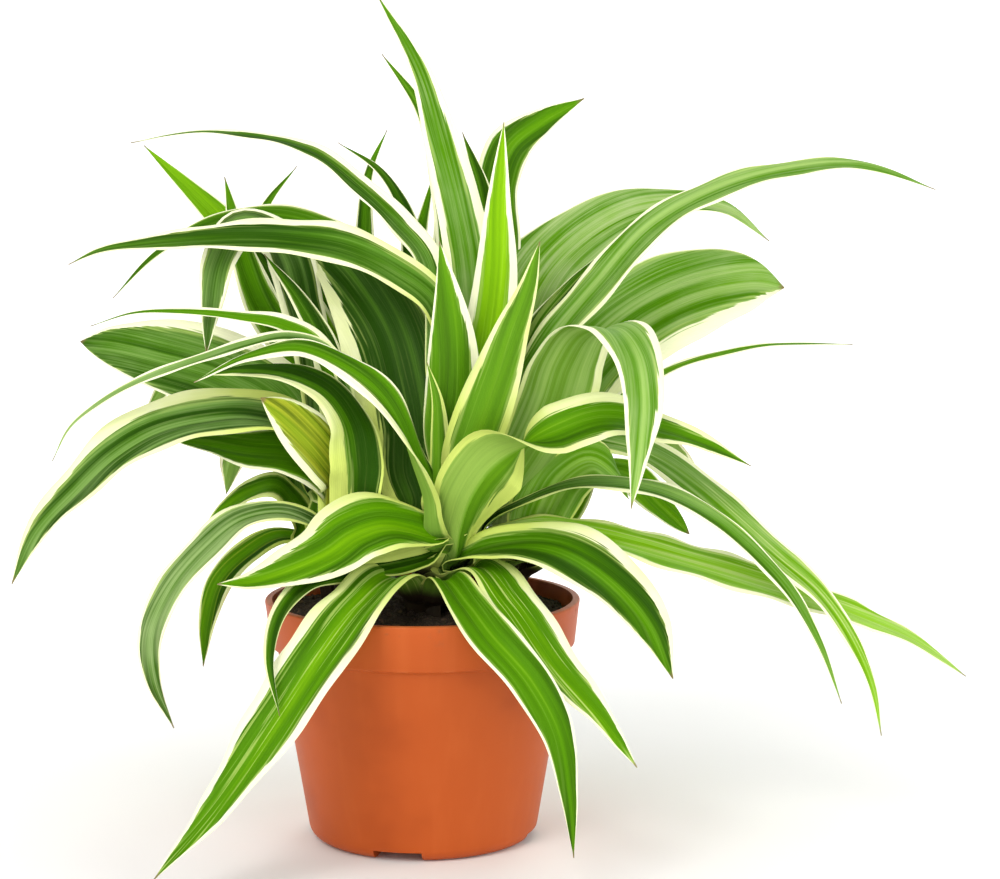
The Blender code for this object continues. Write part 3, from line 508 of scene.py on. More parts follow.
    "leaf_right_narrow": dict(
        stem="right_back", root=128, width=13, faces=(tilted, tilted), margins=(0.14, 0.14), tone=0.15,
        stripes=0.4,
        route=[(36, 174, -28), (45, 203, -30), (57, 218, -33), (70, 231, -35)]),
    "leaf_right_weeping": dict(
        stem="right", root=112, width=16, faces=(tilted, tilted), margins=(0.24, 0.24), tone=0.15,
        ripens=0.9, paintedSheen=0.6, stripes=0.9,
        route=[(43, 146, -17), (57, 157, -23), (75, 156, -20), (93, 149, -8), (108, 138, 2),
               (122, 126, 11), (139, 111, 19), (155, 97, 25), (169, 77, 28), (177, 59, 29),
               (181, 39, 29)]),
    "leaf_right_low_broad": dict(
        stem="right", root=106, width=30, faces=(steep, tilted), margins=(0.06, 0.1), tone=0.7,
        paintedSheen=0.35, lime=0.7, rootShare=0.7,
        route=[(46, 130, -2), (54, 143, -3), (64, 149, -6), (74, 143, -13), (80, 134, -22)]),
    "leaf_right_low_short": dict(
        stem="right_back", root=98, width=17, faces=arching, margins=(0.1, 0.1), tone=0.6, taper=5,
        route=[(55, 126, -27), (64, 143, -30), (78, 144, -32), (91, 132, -29), (104, 120, -25)]),
}

# Leaves of the two offsets behind the plant, by their stem
offsetLeaves = {
    "back_left": [
        dict(root=120, width=20, faces=upright, margins=(0.14, 0.14), tone=0.85,
             route=[(-36, 185, -54), (-55, 219, -60), (-79, 244, -66), (-108, 272, -72)]),
        dict(root=124, width=20, faces=upright, margins=(0.2, 0.2), tone=0.4,
             route=[(-38, 180, -50), (-62, 209, -53), (-71, 233, -55), (-77, 260, -57)]),
        dict(root=126, width=11, faces=upright, margins=(0.2, 0.2), tone=0.4,
             route=[(-42, 190, -50), (-66, 222, -56), (-62, 247, -59), (-49, 264, -62)]),
        dict(root=126, width=15, faces=arching, margins=(0.16, 0.16), tone=0.1, taper=1.1,
             route=[(-9, 190, -44), (-4, 226, -47), (-8, 248, -49), (-17, 262, -52), (-33, 273, -57)]),
        dict(root=122, width=12, faces=upright, margins=(0.22, 0.22), tone=0.25,
             route=[(-20, 190, -50), (-23, 240, -54), (-21, 262, -57), (-14, 278, -60)]),
        dict(root=124, width=13, faces=upright, margins=(0.22, 0.22), tone=0.4,
             route=[(-7, 200, -50), (-2, 235, -54), (4, 262, -58)]),
        dict(root=116, width=24, faces=rearwards, margins=(0.2, 0.22), tone=0.45,
             route=[(-30, 158, -66), (-40, 180, -86), (-52, 176, -112), (-62, 152, -134)]),
        dict(root=110, width=25, faces=rearwards, margins=(0.18, 0.24), tone=0.4, paintedSheen=0.3,
             route=[(-46, 138, -62), (-62, 152, -86), (-74, 150, -112), (-78, 136, -134)]),
        dict(root=104, width=20, faces=rearwards, margins=(0.24, 0.2), tone=0.55,
             route=[(-32, 118, -68), (-40, 114, -92), (-47, 98, -114), (-52, 80, -128)]),
        dict(root=119, width=22, faces=leaning, margins=(0.18, 0.2), tone=0.15,
             route=[(-25, 168, -55), (-35, 198, -58), (-47, 222, -61), (-61, 238, -66)]),
        dict(root=116, width=22, faces=rearwards, margins=(0.22, 0.2), tone=0.5,
             route=[(-23, 180, -62), (-28, 214, -78), (-33, 226, -100), (-39, 210, -130)]),
        dict(root=114, width=20, faces=rearwards, margins=(0.2, 0.24), tone=0.4, paintedSheen=0.3,
             route=[(-50, 160, -64), (-74, 182, -82), (-96, 182, -104), (-112, 162, -126)]),
    ],
    "back_right": [
        dict(root=124, width=19, faces=upright, margins=(0.12, 0.2), tone=0.3, rootShare=0.3,
             widest=0.8, taper=1.2,
             route=[(27, 190, -58), (30, 235, -61), (28.5, 258, -63), (33, 271, -65), (46, 281.5, -68),
                    (62, 290, -72)]),
        dict(root=120, width=20, faces=leaning, margins=(0.2, 0.2), tone=0.35,
             route=[(10, 175, -56), (10, 215, -66), (8, 247, -80), (6, 266, -96)]),
        dict(root=118, width=16, faces=upright, margins=(0.24, 0.2), tone=0.3,
             route=[(10, 170, -36), (13, 220, -40), (8, 255, -44), (-1, 286, -48), (-16, 307, -52)]),
        dict(root=120, width=18, faces=upright, margins=(0.16, 0.2), tone=0.15,
             route=[(22, 190, -36), (25, 230, -40), (22.5, 255, -43), (15, 277, -46)]),
        dict(root=116, width=24, faces=rearwards, margins=(0.2, 0.22), tone=0.5,
             route=[(20, 158, -72), (26, 184, -92), (34, 182, -118), (40, 158, -142)]),
        dict(root=112, width=25, faces=rearwards, margins=(0.24, 0.18), tone=0.4, paintedSheen=0.4,
             route=[(42, 142, -66), (66, 160, -84), (90, 158, -104), (112, 136, -122)]),
        dict(root=106, width=22, faces=rearwards, margins=(0.22, 0.2), tone=0.6,
             route=[(8, 122, -74), (6, 124, -100), (4, 104, -120), (2, 72, -134)]),
        dict(root=102, width=19, faces=rearwards, margins=(0.2, 0.24), tone=0.45,
             route=[(34, 112, -66), (52, 111, -86), (61, 105, -104), (64, 97, -118)]),
        dict(root=122, width=20, faces=rearwards, margins=(0.2, 0.2), tone=0.5,
             route=[(17, 184, -64), (21, 222, -78), (27, 238, -102), (34, 224, -134)]),
        dict(root=118, width=22, faces=rearwards, margins=(0.24, 0.18), tone=0.4, paintedSheen=0.3,
             route=[(38, 168, -66), (60, 200, -84), (80, 208, -112), (93, 197, -138)]),
    ],
}


# A blade's make, shared by all leaves. Lengths are in millimetres, angles in degrees, and the rest are
# shares of the half width or of the length past the sheath.
bladeMake = {
    "columns": 23,
    "bunching": 0.2,  # how much the columns draw together at the edges
    "spacing": 2.1,
    "fewest": 44,
    "most": 116,
    "fold": ((0, 30), (0.08, 36), (0.2, 25), (0.45, 14), (1, 16)),
    "keel": 0.16,
    "widest": 0.46,
    "rootShare": 0.5,
    "taper": 1.55,
    "tipHalf": 0.18,
    "sway": ((0.025, 17), (0.015, 7)),  # of the width: share and length
    "turnIn": 0.16,
    "sheathFoot": 87,
    "sheathGap": 0.1,
    "sheathTurn": 66,
    "mostCurl": 1.4,
    "opens": 24,
    "collar": 6,
    "lean": 0.8,
    "stand": 0.75,
    "standSteps": (0.3, 5),  # neighbouring sheaths stand off one another: by how much, how often
    "clearOfRoot": 0.03,
    "thick": (0.16, 0.62),
    "edgePower": 0.8,
    "tipThins": 0.55,
    "rib": 0.35,
    "ribWidth": 0.09,
    "ribAbove": 0.3,
    "ribFades": 0.7,
    "pleat": 0.16,
    "pleats": 5,
    "pleatShift": 0.6,
    "fullHalf": 6,  # a narrower blade's pleats and ripples are shallower
    "droop": 0.5,
    "droopFrom": 0.5,
    "ripple": 0.75,
    "rippleLength": (24, 44),
    "paleUnderAndLit": 0.3,
    "seeds": (11, 503, 7),  # of the first leaf, of the first offset leaf, and the step between leaves
}


# The point that the front view shows at (across, up), brought nearer to the viewer
def seen(route):
    route = np.array(route, float)
    flat = np.stack([route[:, 0] + plantMiddle, 0 * route[:, 0], route[:, 1]], axis=1) * mm
    return viewer + (flat - viewer) * (1 - route[:, 2:] * mm / -viewer[1])


# Vectors brought to length 1
def unit(vectors):
    return vectors / np.linalg.norm(vectors, axis=-1, keepdims=True)


# Middle and radius of a stem at a height, all in millimetres
def stemAxis(stem, height):
    foot, top = np.array(stems[stem]["foot"], float), np.array(stems[stem]["top"], float)
    share = max((height - foot[2]) / (top[2] - foot[2]), 0)
    wide, narrow = stems[stem]["radius"]
    centre = foot + (top - foot) * share
    centre[2] = height
    return centre, wide + (narrow - wide) * share


# Stops of a midrib: up the stem in its sheath, out through the collar, then along the seen route
def bladeStops(leaf, stand):
    points = seen(leaf["route"])
    centre, radius = stemAxis(leaf["stem"], leaf["root"])
    outwards = unit((points[0] - centre * mm) * (1, 1, 0))
    root = centre * mm + outwards * (radius + stand) * mm
    low, lowRadius = stemAxis(leaf["stem"], bladeMake["sheathFoot"])
    foot = low * mm + outwards * (lowRadius + bladeMake["sheathGap"]) * mm
    bend = unit(outwards * bladeMake["lean"] + unit(points[0] - root))
    collar = root + bend * bladeMake["collar"] * mm
    stops = np.vstack([foot, root, collar, points])
    return stops, outwards, radius + stand, np.linalg.norm(root - foot) / mm


# Distance along a line of points, from 0 at the first
def lengthSoFar(points):
    return np.concatenate([[0], np.cumsum(np.linalg.norm(np.diff(points, axis=0), axis=1))])


# Even stations along a smooth Hermite curve through the stops, with headings and length so far
def alongCurve(stops, count, fineness=600):
    distance = lengthSoFar(stops)
    slope = np.gradient(stops, distance, axis=0)
    fine = np.linspace(0, distance[-1], fineness)
    span = np.clip(np.searchsorted(distance, fine, side="right") - 1, 0, len(stops) - 2)
    gap = (distance[span + 1] - distance[span])[:, None]
    u = (fine - distance[span])[:, None] / gap
    curve = ((1 + 2 * u) * (1 - u) ** 2 * stops[span] + u * (1 - u) ** 2 * gap * slope[span]
             + u * u * (3 - 2 * u) * stops[span + 1] + u * u * (u - 1) * gap * slope[span + 1])
    run = lengthSoFar(curve)
    wanted = np.linspace(0, run[-1], count)
    stations = np.stack([np.interp(wanted, run, curve[:, k]) for k in range(3)], axis=1)
    return stations, unit(np.gradient(stations, axis=0)), wanted


# From 0 to 1 and level at both ends: three times the square less twice the cube
def eases(share):
    share = np.clip(share, 0, 1)
    return share * share * (3 - 2 * share)


# Half of the blade's width: it swells from its root to its widest, then falls by a power to its tip
def halfWidth(share, leaf):
    swell = leaf["rootShare"] + (1 - leaf["rootShare"]) * eases(share / leaf["widest"])
    fall = np.clip((share - leaf["widest"]) / (1 - leaf["widest"]), 0, 1) ** leaf["taper"]
    return np.maximum(leaf["width"] / 2 * swell * (1 - fall), bladeMake["tipHalf"])


# The way the upper face looks at each station: it turns from the root's way to the tip's, and a root
# that clasps its stem looks inwards at the stem. A leaf clasps unless its upper face looks outwards.
def bladeLooks(leaf, share, heading, outwards):
    faceRoot, faceTip = (np.array(face) * (1, -1, 1) for face in leaf["faces"])
    start, end = leaf["turns"]
    turned = np.clip((share - start) / (end - start), 0, 1)
    looks = faceRoot * (1 - turned) + faceTip * turned
    stemward = np.array([0, 0, 0.5]) - outwards
    lowest = heading[np.argmax(share > bladeMake["clearOfRoot"])]
    clasps = leaf.get("clasps", (faceRoot - faceRoot @ lowest * lowest) @ stemward > 0)
    turnIn = np.clip(1 - share / bladeMake["turnIn"], 0, 1) * clasps
    looks = looks * (1 - turnIn) + stemward * turnIn
    looks -= (looks * heading).sum(axis=1, keepdims=True) * heading
    return unit(looks), clasps


# A blade: v runs across from -1 to 1. Near its root the section is an arc of the stem's radius, and past
# the collar a shallow V whose middle is rounded as the root of v squared plus the keel squared. A leaf
# that doesn't clasp its stem is a V right from its foot. Pleats run along the blade, margins ripple by v
# cubed, and its wall thins towards both edges.
def bladeMesh(name, row, seed, stand):
    make, chance = bladeMake, np.random.default_rng(seed)
    leaf = {"turns": (0, 1), "folded": 1, **make, **row}
    stops, outwards, stemRadius, sheath = bladeStops(leaf, stand)
    length = lengthSoFar(stops)[-1] / mm
    count = int(np.clip(length / make["spacing"], make["fewest"], make["most"]))
    stations, heading, run = alongCurve(stops, count)
    run = run[:, None] / mm
    along = (run - sheath) / (run[-1] - sheath)
    share = np.clip(along, 0, 1)
    upper, clasps = bladeLooks(leaf, share, heading, outwards)
    side = np.cross(upper, heading)

    wrap = (1 - eases((run - sheath) / leaf["opens"])) * clasps
    sheathHalf = stemRadius * math.radians(leaf["sheathTurn"])
    half = halfWidth(share, leaf) * (1 - wrap) + sheathHalf * wrap
    wobble = chance.uniform(0, math.tau, 4)
    sways = zip(make["sway"], wobble)
    half = half * sum((size * np.sin(run / every + shift) for (size, every), shift in sways), 1)
    t = np.linspace(-1, 1, make["columns"])[None, :]
    v = t * (1 + make["bunching"] - make["bunching"] * t * t)
    fold = np.radians(np.interp(share, *zip(*make["fold"])))
    fold = fold * (1 + (leaf["folded"] - 1) * (1 - share) ** 2)
    keel = leaf["keel"]
    rounded = (np.sqrt(v * v + keel * keel) - keel) / (math.sqrt(1 + keel * keel) - keel)
    curl = np.minimum(half / stemRadius, make["mostCurl"])
    spread = half * ((1 - wrap) * np.cos(fold) * v + wrap * np.sin(curl * v) / curl)
    lift = half * ((1 - wrap) * np.sin(fold) * rounded + wrap * (1 - np.cos(curl * v)) / curl)
    drooping = np.maximum(np.abs(v) - make["droopFrom"], 0) ** 2
    lift = lift - half * make["droop"] * drooping * (1 - wrap)
    body = np.minimum(half / make["fullHalf"], 1) * (1 - wrap)
    pleats = np.sin(math.pi * make["pleats"] * np.abs(v) + make["pleatShift"])
    lift = lift + make["pleat"] * pleats * body
    wave = chance.uniform(*make["rippleLength"], 2)
    left = np.sin(math.tau * run / wave[0] + wobble[2]) * (v < 0)
    right = np.sin(math.tau * run / wave[1] + wobble[3]) * (v > 0)
    lift = lift + make["ripple"] * np.abs(v) ** 3 * (left + right) * body
    edge, ridge = make["thick"]
    thick = edge + ridge * (1 - np.abs(v)) ** make["edgePower"] * (1 - make["tipThins"] * share)
    rib = make["rib"] * np.exp(-(v / make["ribWidth"]) ** 2) * body * (1 - make["ribFades"] * share)

    offset = side[:, None, :] * spread[..., None] + upper[:, None, :] * lift[..., None]
    middle = stations[:, None, :] + offset * mm
    up = upper[:, None, :] * mm
    top = middle + up * (thick / 2 - rib * make["ribAbove"])[..., None]
    under = middle - up * (thick / 2 + rib)[..., None]
    points = np.concatenate([top, under[:, ::-1]], axis=1)
    mesh = gridMesh(name, points, True)

    across = np.concatenate([v, v[:, ::-1]], axis=1)
    # An underside may differ between its halves: painted light on the lit half, painted shade on the
    # other
    paleMinus, palePlus = np.broadcast_to(leaf["paleUnderAndLit"], 2)
    paleness = np.concatenate([v * 0, np.where(v < 0, paleMinus, palePlus)[:, ::-1]], axis=1)
    minus, plus = leaf["margins"]
    trim = np.where(across < 0, minus, plus) * (1 + leaf.get("grows", 0) * along)
    tone = leaf["tone"] + leaf.get("ripens", 0) * share
    shape = points.shape[:2]
    keep(mesh, "spread", shape, [across, along, paleness])
    keep(mesh, "grain", shape, [across * half, run, seed * 31 % 997])  # far apart in the noise
    keep(mesh, "trim", shape, [trim, tone, leaf.get("paintedSheen", 0)])
    keep(mesh, "habit", shape, [leaf.get(key, 0) for key in ("stripes", "lime", "old")])
    return mesh


print("materials")
leafSkin = leafFinish("stripedLeaf", leafLook)

print("leaves")
seed, offsetSeed, seedStep = bladeMake["seeds"]
standStep, standLevels = bladeMake["standSteps"]
for number, (name, leaf) in enumerate(leaves.items()):
    stand = bladeMake["stand"] + standStep * (number % standLevels)
    mesh = bladeMesh(name.replace("leaf_", "blade_"), leaf, seed, stand)
    finishPiece(mesh.name, mesh, leafSkin, "leaf", name)
    seed += seedStep
seed = offsetSeed
for stem, fan in offsetLeaves.items():
    for place, leaf in enumerate(fan, 1):
        mesh = bladeMesh(f"blade_{stem}_{place}", {"stem": stem, **leaf}, seed, bladeMake["stand"])
        finishPiece(mesh.name, mesh, leafSkin, "leaf", "offset_" + stem)
        seed += seedStep


# Stems, wrapped in the dry feet of older leaves; brown low down, as dry leaf bases and as painted shade
stemMake = {
    "sunk": 15,
    "sides": 56,
    "rings": 44,
    "ridges": 9,
    "ridgeDepth": 0.045,
    "ridgeTwist": 2,
    "scales": 5,
    "scaleDepth": 0.5,
    "dome": (0.9, 0.1),  # from this share of the height, and over this share
    "domeTop": 0.02,
    "thinnest": 0.05,
    "seed": 3.0,
    "colours": {
        "fresh": (0.22, 0.32, 0.06, 1),
        "pale": (0.42, 0.50, 0.18, 1),
        # Brown low on the stems: dry leaf bases and painted shade under the leaves
        "shadedHusk": (0.13, 0.09, 0.05, 1),
    },
    "steps": {
        "fibre": (0.35, 0.7),
        "shadedHusk": (0.0, 0.3),
    },
}


# Colour of a stem: pale fibres, and a brown low down that fades out half way up, as dry leaf bases and
# as painted shade under the leaves
def stemFinish(name, look):
    stem = Finish(name, look, Coat_Weight=0.06)
    turnShare, height, seed = stem.parts("spread")
    fibre = stem.noise(stem.point(turnShare * 26, height * 1.6, seed), detail=3)
    cloudy = stem.noise(stem.point(turnShare * 5, height * 4, seed + 5), detail=2)
    colour = stem.mix("fresh", "pale", stem.step("fibre", fibre))
    # Painted shade and dry leaf bases: brown low on the stem, fading out half way up
    shadedHusk = stem.step("shadedHusk", 0.55 - height + (cloudy - 0.5) * 0.3)
    colour = stem.mix(colour, "shadedHusk", shadedHusk * 0.9)
    stem.show(colour, 0.45 + shadedHusk * 0.35)
    stem.relief(fibre, strength=0.5, distance=0.3 * mm)
    return stem


# Angles of equal steps round a full turn
def fullTurn(sides):
    return np.linspace(0, math.tau, sides, endpoint=False)


# A stem: rings about its leaning axis, radius ridged by a cosine of the turn and stepped by a sawtooth
# of the height, and drawn in to a round top
def stemMesh(name, stem, seed):
    make, base, high = stemMake, stems[stem]["foot"][2], stems[stem]["top"][2]
    share = np.linspace(0, 1, make["rings"])[:, None]
    turn = fullTurn(make["sides"])[None, :]
    heights = base - make["sunk"] + (high - base + make["sunk"]) * share
    axes = [stemAxis(stem, height) for height in heights[:, 0]]
    centre = np.array([axis[0] for axis in axes])
    radius = np.array([axis[1] for axis in axes])[:, None]
    start, over = make["dome"]
    bend = np.clip((share - start) / over, 0, 1)
    dome = np.sqrt(np.clip(1 - bend ** 2, make["domeTop"] ** 2, 1))
    steps = (share * make["scales"]) % 1
    ridges = 1 + make["ridgeDepth"] * np.cos(make["ridges"] * turn + seed + make["ridgeTwist"] * share)
    reach = np.maximum(radius * dome * ridges - make["scaleDepth"] * steps, make["thinnest"])
    ring = np.stack([np.cos(turn), np.sin(turn), 0 * turn], axis=2)
    points = (centre[:, None, :] + reach[..., None] * ring) * mm
    mesh = gridMesh(name, points[:, ::-1], True)
    above = np.clip((heights - base) / (high - base), 0, 1)
    keep(mesh, "spread", points.shape[:2], [turn[:, ::-1] / math.tau, above, seed])
    return mesh


print("stems")
stemSkin = stemFinish("paleStem", stemMake)
for number, stem in enumerate(stems):
    node = "offset_" + stem if stem.startswith("back_") else "stem_" + stem
    mesh = stemMesh("stalk_" + stem, stem, stemMake["seed"] + number)
    finishPiece(mesh.name, mesh, stemSkin, "stem", node)


# Soil: a lumpy dome up to the pot's wall, with loose crumbs on it
soilMake = {
    "level": 89,
    "dome": 2.5,
    "edge": 57.3,
    "under": 62,
    "underShare": 0.93,
    "middleShare": 0.004,
    "rings": 96,
    "sides": 220,
    "lumps": ((9.0, 0.55), (4.2, 0.42), (2.1, 0.28), (1.1, 0.16)),
    "lumpWaves": 12,
    "lumpStretch": (0.7, 1.4),
    "lumpSeed": 71,
    "crumbs": 900,
    "crumbSize": (0.5, 1.9),
    "crumbPower": 3,
    "crumbStretch": (0.55, 1.0),
    "crumbBumps": 0.22,
    "crumbInset": 1.5,
    "crumbRise": 0.12,
    "crumbSeed": 29,
    "crumbSharp": 30,
    "colours": {
        "peat": (0.028, 0.019, 0.013, 1),
        "loam": (0.085, 0.056, 0.034, 1),
        "bark": (0.150, 0.090, 0.050, 1),
    },
    "steps": {
        "loam": (0.4, 0.75),
        "bark": (0.6, 0.75),
    },
}


# Smooth noise over points in the plane: random waves in several directions, added up
def waves(x, y, length, chance):
    count, (least, most) = soilMake["lumpWaves"], soilMake["lumpStretch"]
    total = np.zeros_like(x)
    for angle, phase, stretch in chance.uniform((0, 0, least), (math.tau, math.tau, most), (count, 3)):
        forward = x * math.cos(angle) + y * math.sin(angle)
        total += np.sin(forward * math.tau / (length * stretch) + phase)
    return total / math.sqrt(count)


# The soil's height: a parabola over the distance from the middle, with waves of several lengths on it
def soilHeight(x, y):
    chance = np.random.default_rng(soilMake["lumpSeed"])
    height = soilMake["level"] + soilMake["dome"] * (1 - (x * x + y * y) / soilMake["edge"] ** 2)
    for length, depth in soilMake["lumps"]:
        height = height + depth * waves(x, y, length, chance)
    return height


# The soil's top is a height over a polar grid; a skirt and a flat underside close it
def soilMesh():
    make = soilMake
    turn = fullTurn(make["sides"])[None, :]
    reach = make["edge"] * np.linspace(1, make["middleShare"], make["rings"])[:, None]
    x, y = reach * np.cos(turn), reach * np.sin(turn)
    top = np.stack([x, y, soilHeight(x, y)], axis=2)
    wall = top[:1].copy()
    wall[..., :2] *= make["underShare"]
    wall[..., 2] = make["under"]
    centre = wall.copy()
    centre[..., :2] *= make["middleShare"]
    return gridMesh("soilBed", np.concatenate([centre, wall, top]) * mm, True)


# Colour of the soil: fine grain from peat to loam, with bark where the clods are high
def soilFinish(name, look, scale):
    soil = Finish(name, look, Specular_IOR_Level=0.25)
    place = soil.place()
    grain = soil.noise(place, scale=1400 * scale, detail=3, roughness=0.7)
    clods = soil.noise(place, scale=260 * scale, detail=2)
    colour = soil.mix("peat", "loam", soil.step("loam", grain))
    colour = soil.mix(colour, "bark", soil.step("bark", clods) * 0.6)
    soil.show(colour, 0.88 + grain * 0.1)
    soil.relief(grain + clods * 0.6, strength=0.8, distance=0.6 * mm)
    return soil


# Crumbs: one twenty-sided lump, stretched, turned and set down many times over the soil
def crumbMesh():
    make = soilMake
    chance = np.random.default_rng(make["crumbSeed"])
    ball = bmesh.new()
    bmesh.ops.create_icosphere(ball, subdivisions=1, radius=1)
    corners = np.array([vertex.co for vertex in ball.verts])
    faces = np.array([[vertex.index for vertex in face.verts] for face in ball.faces])
    ball.free()
    count = make["crumbs"]
    low, high = make["crumbSize"]
    size = low + (high - low) * chance.random(count) ** make["crumbPower"]
    stretch = chance.uniform(*make["crumbStretch"], (count, 1, 3)) * (size / 2)[:, None, None]
    bumps = 1 + chance.uniform(-make["crumbBumps"], make["crumbBumps"], (count, len(corners), 1))
    lumps = corners[None] * bumps * stretch
    turn = chance.uniform(0, math.tau, count)
    cos, sin = np.cos(turn)[:, None], np.sin(turn)[:, None]
    x = lumps[..., 0] * cos - lumps[..., 1] * sin
    y = lumps[..., 0] * sin + lumps[..., 1] * cos
    reach = (make["edge"] - make["crumbInset"]) * np.sqrt(chance.random(count))
    around = chance.uniform(0, math.tau, count)
    atX, atY = reach * np.cos(around), reach * np.sin(around)
    atZ = soilHeight(atX, atY) + size * make["crumbRise"]
    points = np.stack([x + atX[:, None], y + atY[:, None], lumps[..., 2] + atZ[:, None]], axis=2) * mm
    indices = faces[None] + (np.arange(count) * len(corners))[:, None, None]
    return listMesh("soilCrumbs", points, indices.reshape(-1, 3))


print("soil")
earth = soilFinish("pottingSoil", soilMake, scale=1.0)
finishPiece("soilBed", soilMesh(), earth, "soil", "soil")
crumbSkin = soilFinish("soilCrumb", soilMake, scale=1.3)
finishPiece("soilCrumbs", crumbMesh(), crumbSkin, "soil", "soil", sharp=soilMake["crumbSharp"])


# Pot: a turned shell with a banded rim; channels under its foot lead to drain holes. Millimetres.
potMake = {
    "height": 95,
    "rimRadius": 62,
    "rimBand": 17.5,
    "bandFoot": 77.6,
    "rimStep": 2.6,
    "bodyTop": 57.4,
    "foot": 45.5,
    "footCorner": 6,
    "wall": 1.4,
    "rimWall": 2.6,
    "rimTaper": 0.5,
    "rimFace": 4,
    "lip": 0.8,
    "shoulder": 1.2,
    "ease": 0.5,
    "mostEase": 0.4,  # of the straight beside a corner
    "sides": 168,
    "channels": 4,
    "channelWidth": 19,
    "channelHeight": 4,
    "channelStart": 27,
    "channelTurn": -101.5,
    "holeRadius": 3.5,
    "holeSides": 32,
    "cutPast": 3,  # how far a hole is cut past the channel's roof
    "cornerSteps": 9,
    "innerCorner": (-60, -15, 4),
    "easeSteps": 4,
    "lipSteps": 5,
    "sharp": 32,
    "colours": {
        "clay": (0.490, 0.088, 0.012, 1),
        "light": (0.550, 0.112, 0.019, 1),
        "dark": (0.400, 0.066, 0.008, 1),
        "scuff": (0.600, 0.190, 0.065, 1),
        "dust": (0.180, 0.090, 0.045, 1),
    },
    "steps": {
        "clay": (0.25, 0.55),
        "light": (0.5, 0.72),
        "lip": (94 * mm, 95 * mm),
        "band": (-0.9 * mm, -0.1 * mm),
        "foot": (-2.2 * mm, 0.0),
        "wear": (0.3, 0.7),
        "below": (84 * mm, 95 * mm),
        "dust": (0.58, 0.72),
    },
}


# Points of an arc about (radius, height), at equal steps between two angles in degrees
def arc(radius, height, size, start, end, steps):
    turn = np.radians(np.linspace(start, end, steps + 1))
    return np.stack([radius + size * np.cos(turn), height + size * np.sin(turn)], axis=1)


# Round each inner corner of a profile: cut back by the ease on both sides and bridged with a parabola
def eased(profile, ease):
    profile = np.array(profile, float)
    corner = profile[1:-1]

    def cutBack(neighbour):
        straight = np.linalg.norm(neighbour - corner, axis=1)
        back = np.minimum(ease, straight * potMake["mostEase"])[:, None]
        return corner + unit(neighbour - corner) * back

    start, end = cutBack(profile[:-2])[:, None], cutBack(profile[2:])[:, None]
    u = np.linspace(0, 1, potMake["easeSteps"])[None, :, None]
    bridge = start * (1 - u) ** 2 + 2 * corner[:, None] * u * (1 - u) + end * u * u
    return np.vstack([profile[:1], bridge.reshape(-1, 2), profile[-1:]])


# Outside of the pot, from the middle of its foot: a rounded corner, a sloping side, a step out to the
# rim's band, and a lip rounded by a quarter circle
def outerProfile():
    make = potMake
    foot, bend, lip = make["foot"], make["footCorner"], make["lip"]
    band = make["height"] - make["rimBand"]
    slope = math.degrees(math.atan2(make["bodyTop"] - foot, band))
    body = [(make["bodyTop"], band - make["shoulder"]), (make["bodyTop"] + make["rimStep"], band)]
    upper = (make["rimRadius"] - make["rimTaper"], make["height"] - make["rimFace"])
    corner = arc(foot - bend, bend, bend, -90, -slope, make["cornerSteps"])
    top = arc(make["rimRadius"] - lip, make["height"] - lip, lip, 0, 90, make["lipSteps"])
    sides = eased([corner[-1], *body, upper, top[0]], make["ease"])
    return np.vstack([[(0, 0)], corner, sides[1:-1], top])


# Inside of the pot: the same corner and sides a wall further in, up to a height above the rim
def innerProfile(top):
    make = potMake
    foot, bend = make["foot"] - make["wall"], make["footCorner"] - make["wall"]
    band = make["height"] - make["rimBand"]
    inside = [(make["bodyTop"] - make["wall"], band), (make["rimRadius"] - make["rimWall"], top)]
    corner = arc(foot - bend, make["wall"] + bend, bend, *make["innerCorner"])
    return np.vstack([[(0, make["wall"]), (foot - bend, make["wall"])], corner, inside])


# A grid turned about Z: radius and height of a profile, carried round the circle
def turnedGrid(radius, height, sides):
    radius, height, turn = np.array(radius)[:, None], np.array(height)[:, None], fullTurn(sides)
    points = [radius * np.cos(turn), radius * np.sin(turn), height + 0 * turn]
    return np.stack(points, axis=2)[:, ::-1]


# A solid turned about Z, with its poles merged
def turnedMesh(name, profile, sides):
    mesh = gridMesh(name, turnedGrid(*np.array(profile).T, sides) * mm, False)
    build = bmesh.new()
    build.from_mesh(mesh)
    bmesh.ops.remove_doubles(build, verts=build.verts, dist=0.01 * mm)
    bmesh.ops.recalc_face_normals(build, faces=build.faces)
    build.to_mesh(mesh)
    build.free()
    return mesh


# A block between two corners, turned about Z
def blockMesh(name, low, high, turn):
    build = bmesh.new()
    bmesh.ops.create_cube(build, size=1)
    size = [(b - a) * mm for a, b in zip(low, high)]
    middle = [(a + b) / 2 * mm for a, b in zip(low, high)]
    matrix = Matrix.Rotation(turn, 4, "Z") @ Matrix.Translation(middle) @ Matrix.Diagonal((*size, 1))
    bmesh.ops.transform(build, matrix=matrix, verts=build.verts)
    mesh = bpy.data.meshes.new(name)
    build.to_mesh(mesh)
    build.free()
    return mesh


# The ways in which the channels run out from the middle
channelTurns = [math.radians(potMake["channelTurn"]) + math.tau * k / potMake["channels"]
                for k in range(potMake["channels"])]


# Blocks for the channels, grown on every side
def channelMeshes(grow):
    make = potMake
    half, high = make["channelWidth"] / 2 + grow, make["channelHeight"] + grow
    start = make["channelStart"] - grow
    low, top = (start, -half, -high), (start + make["foot"], half, high)
    return [blockMesh("channel", low, top, turn) for turn in channelTurns]


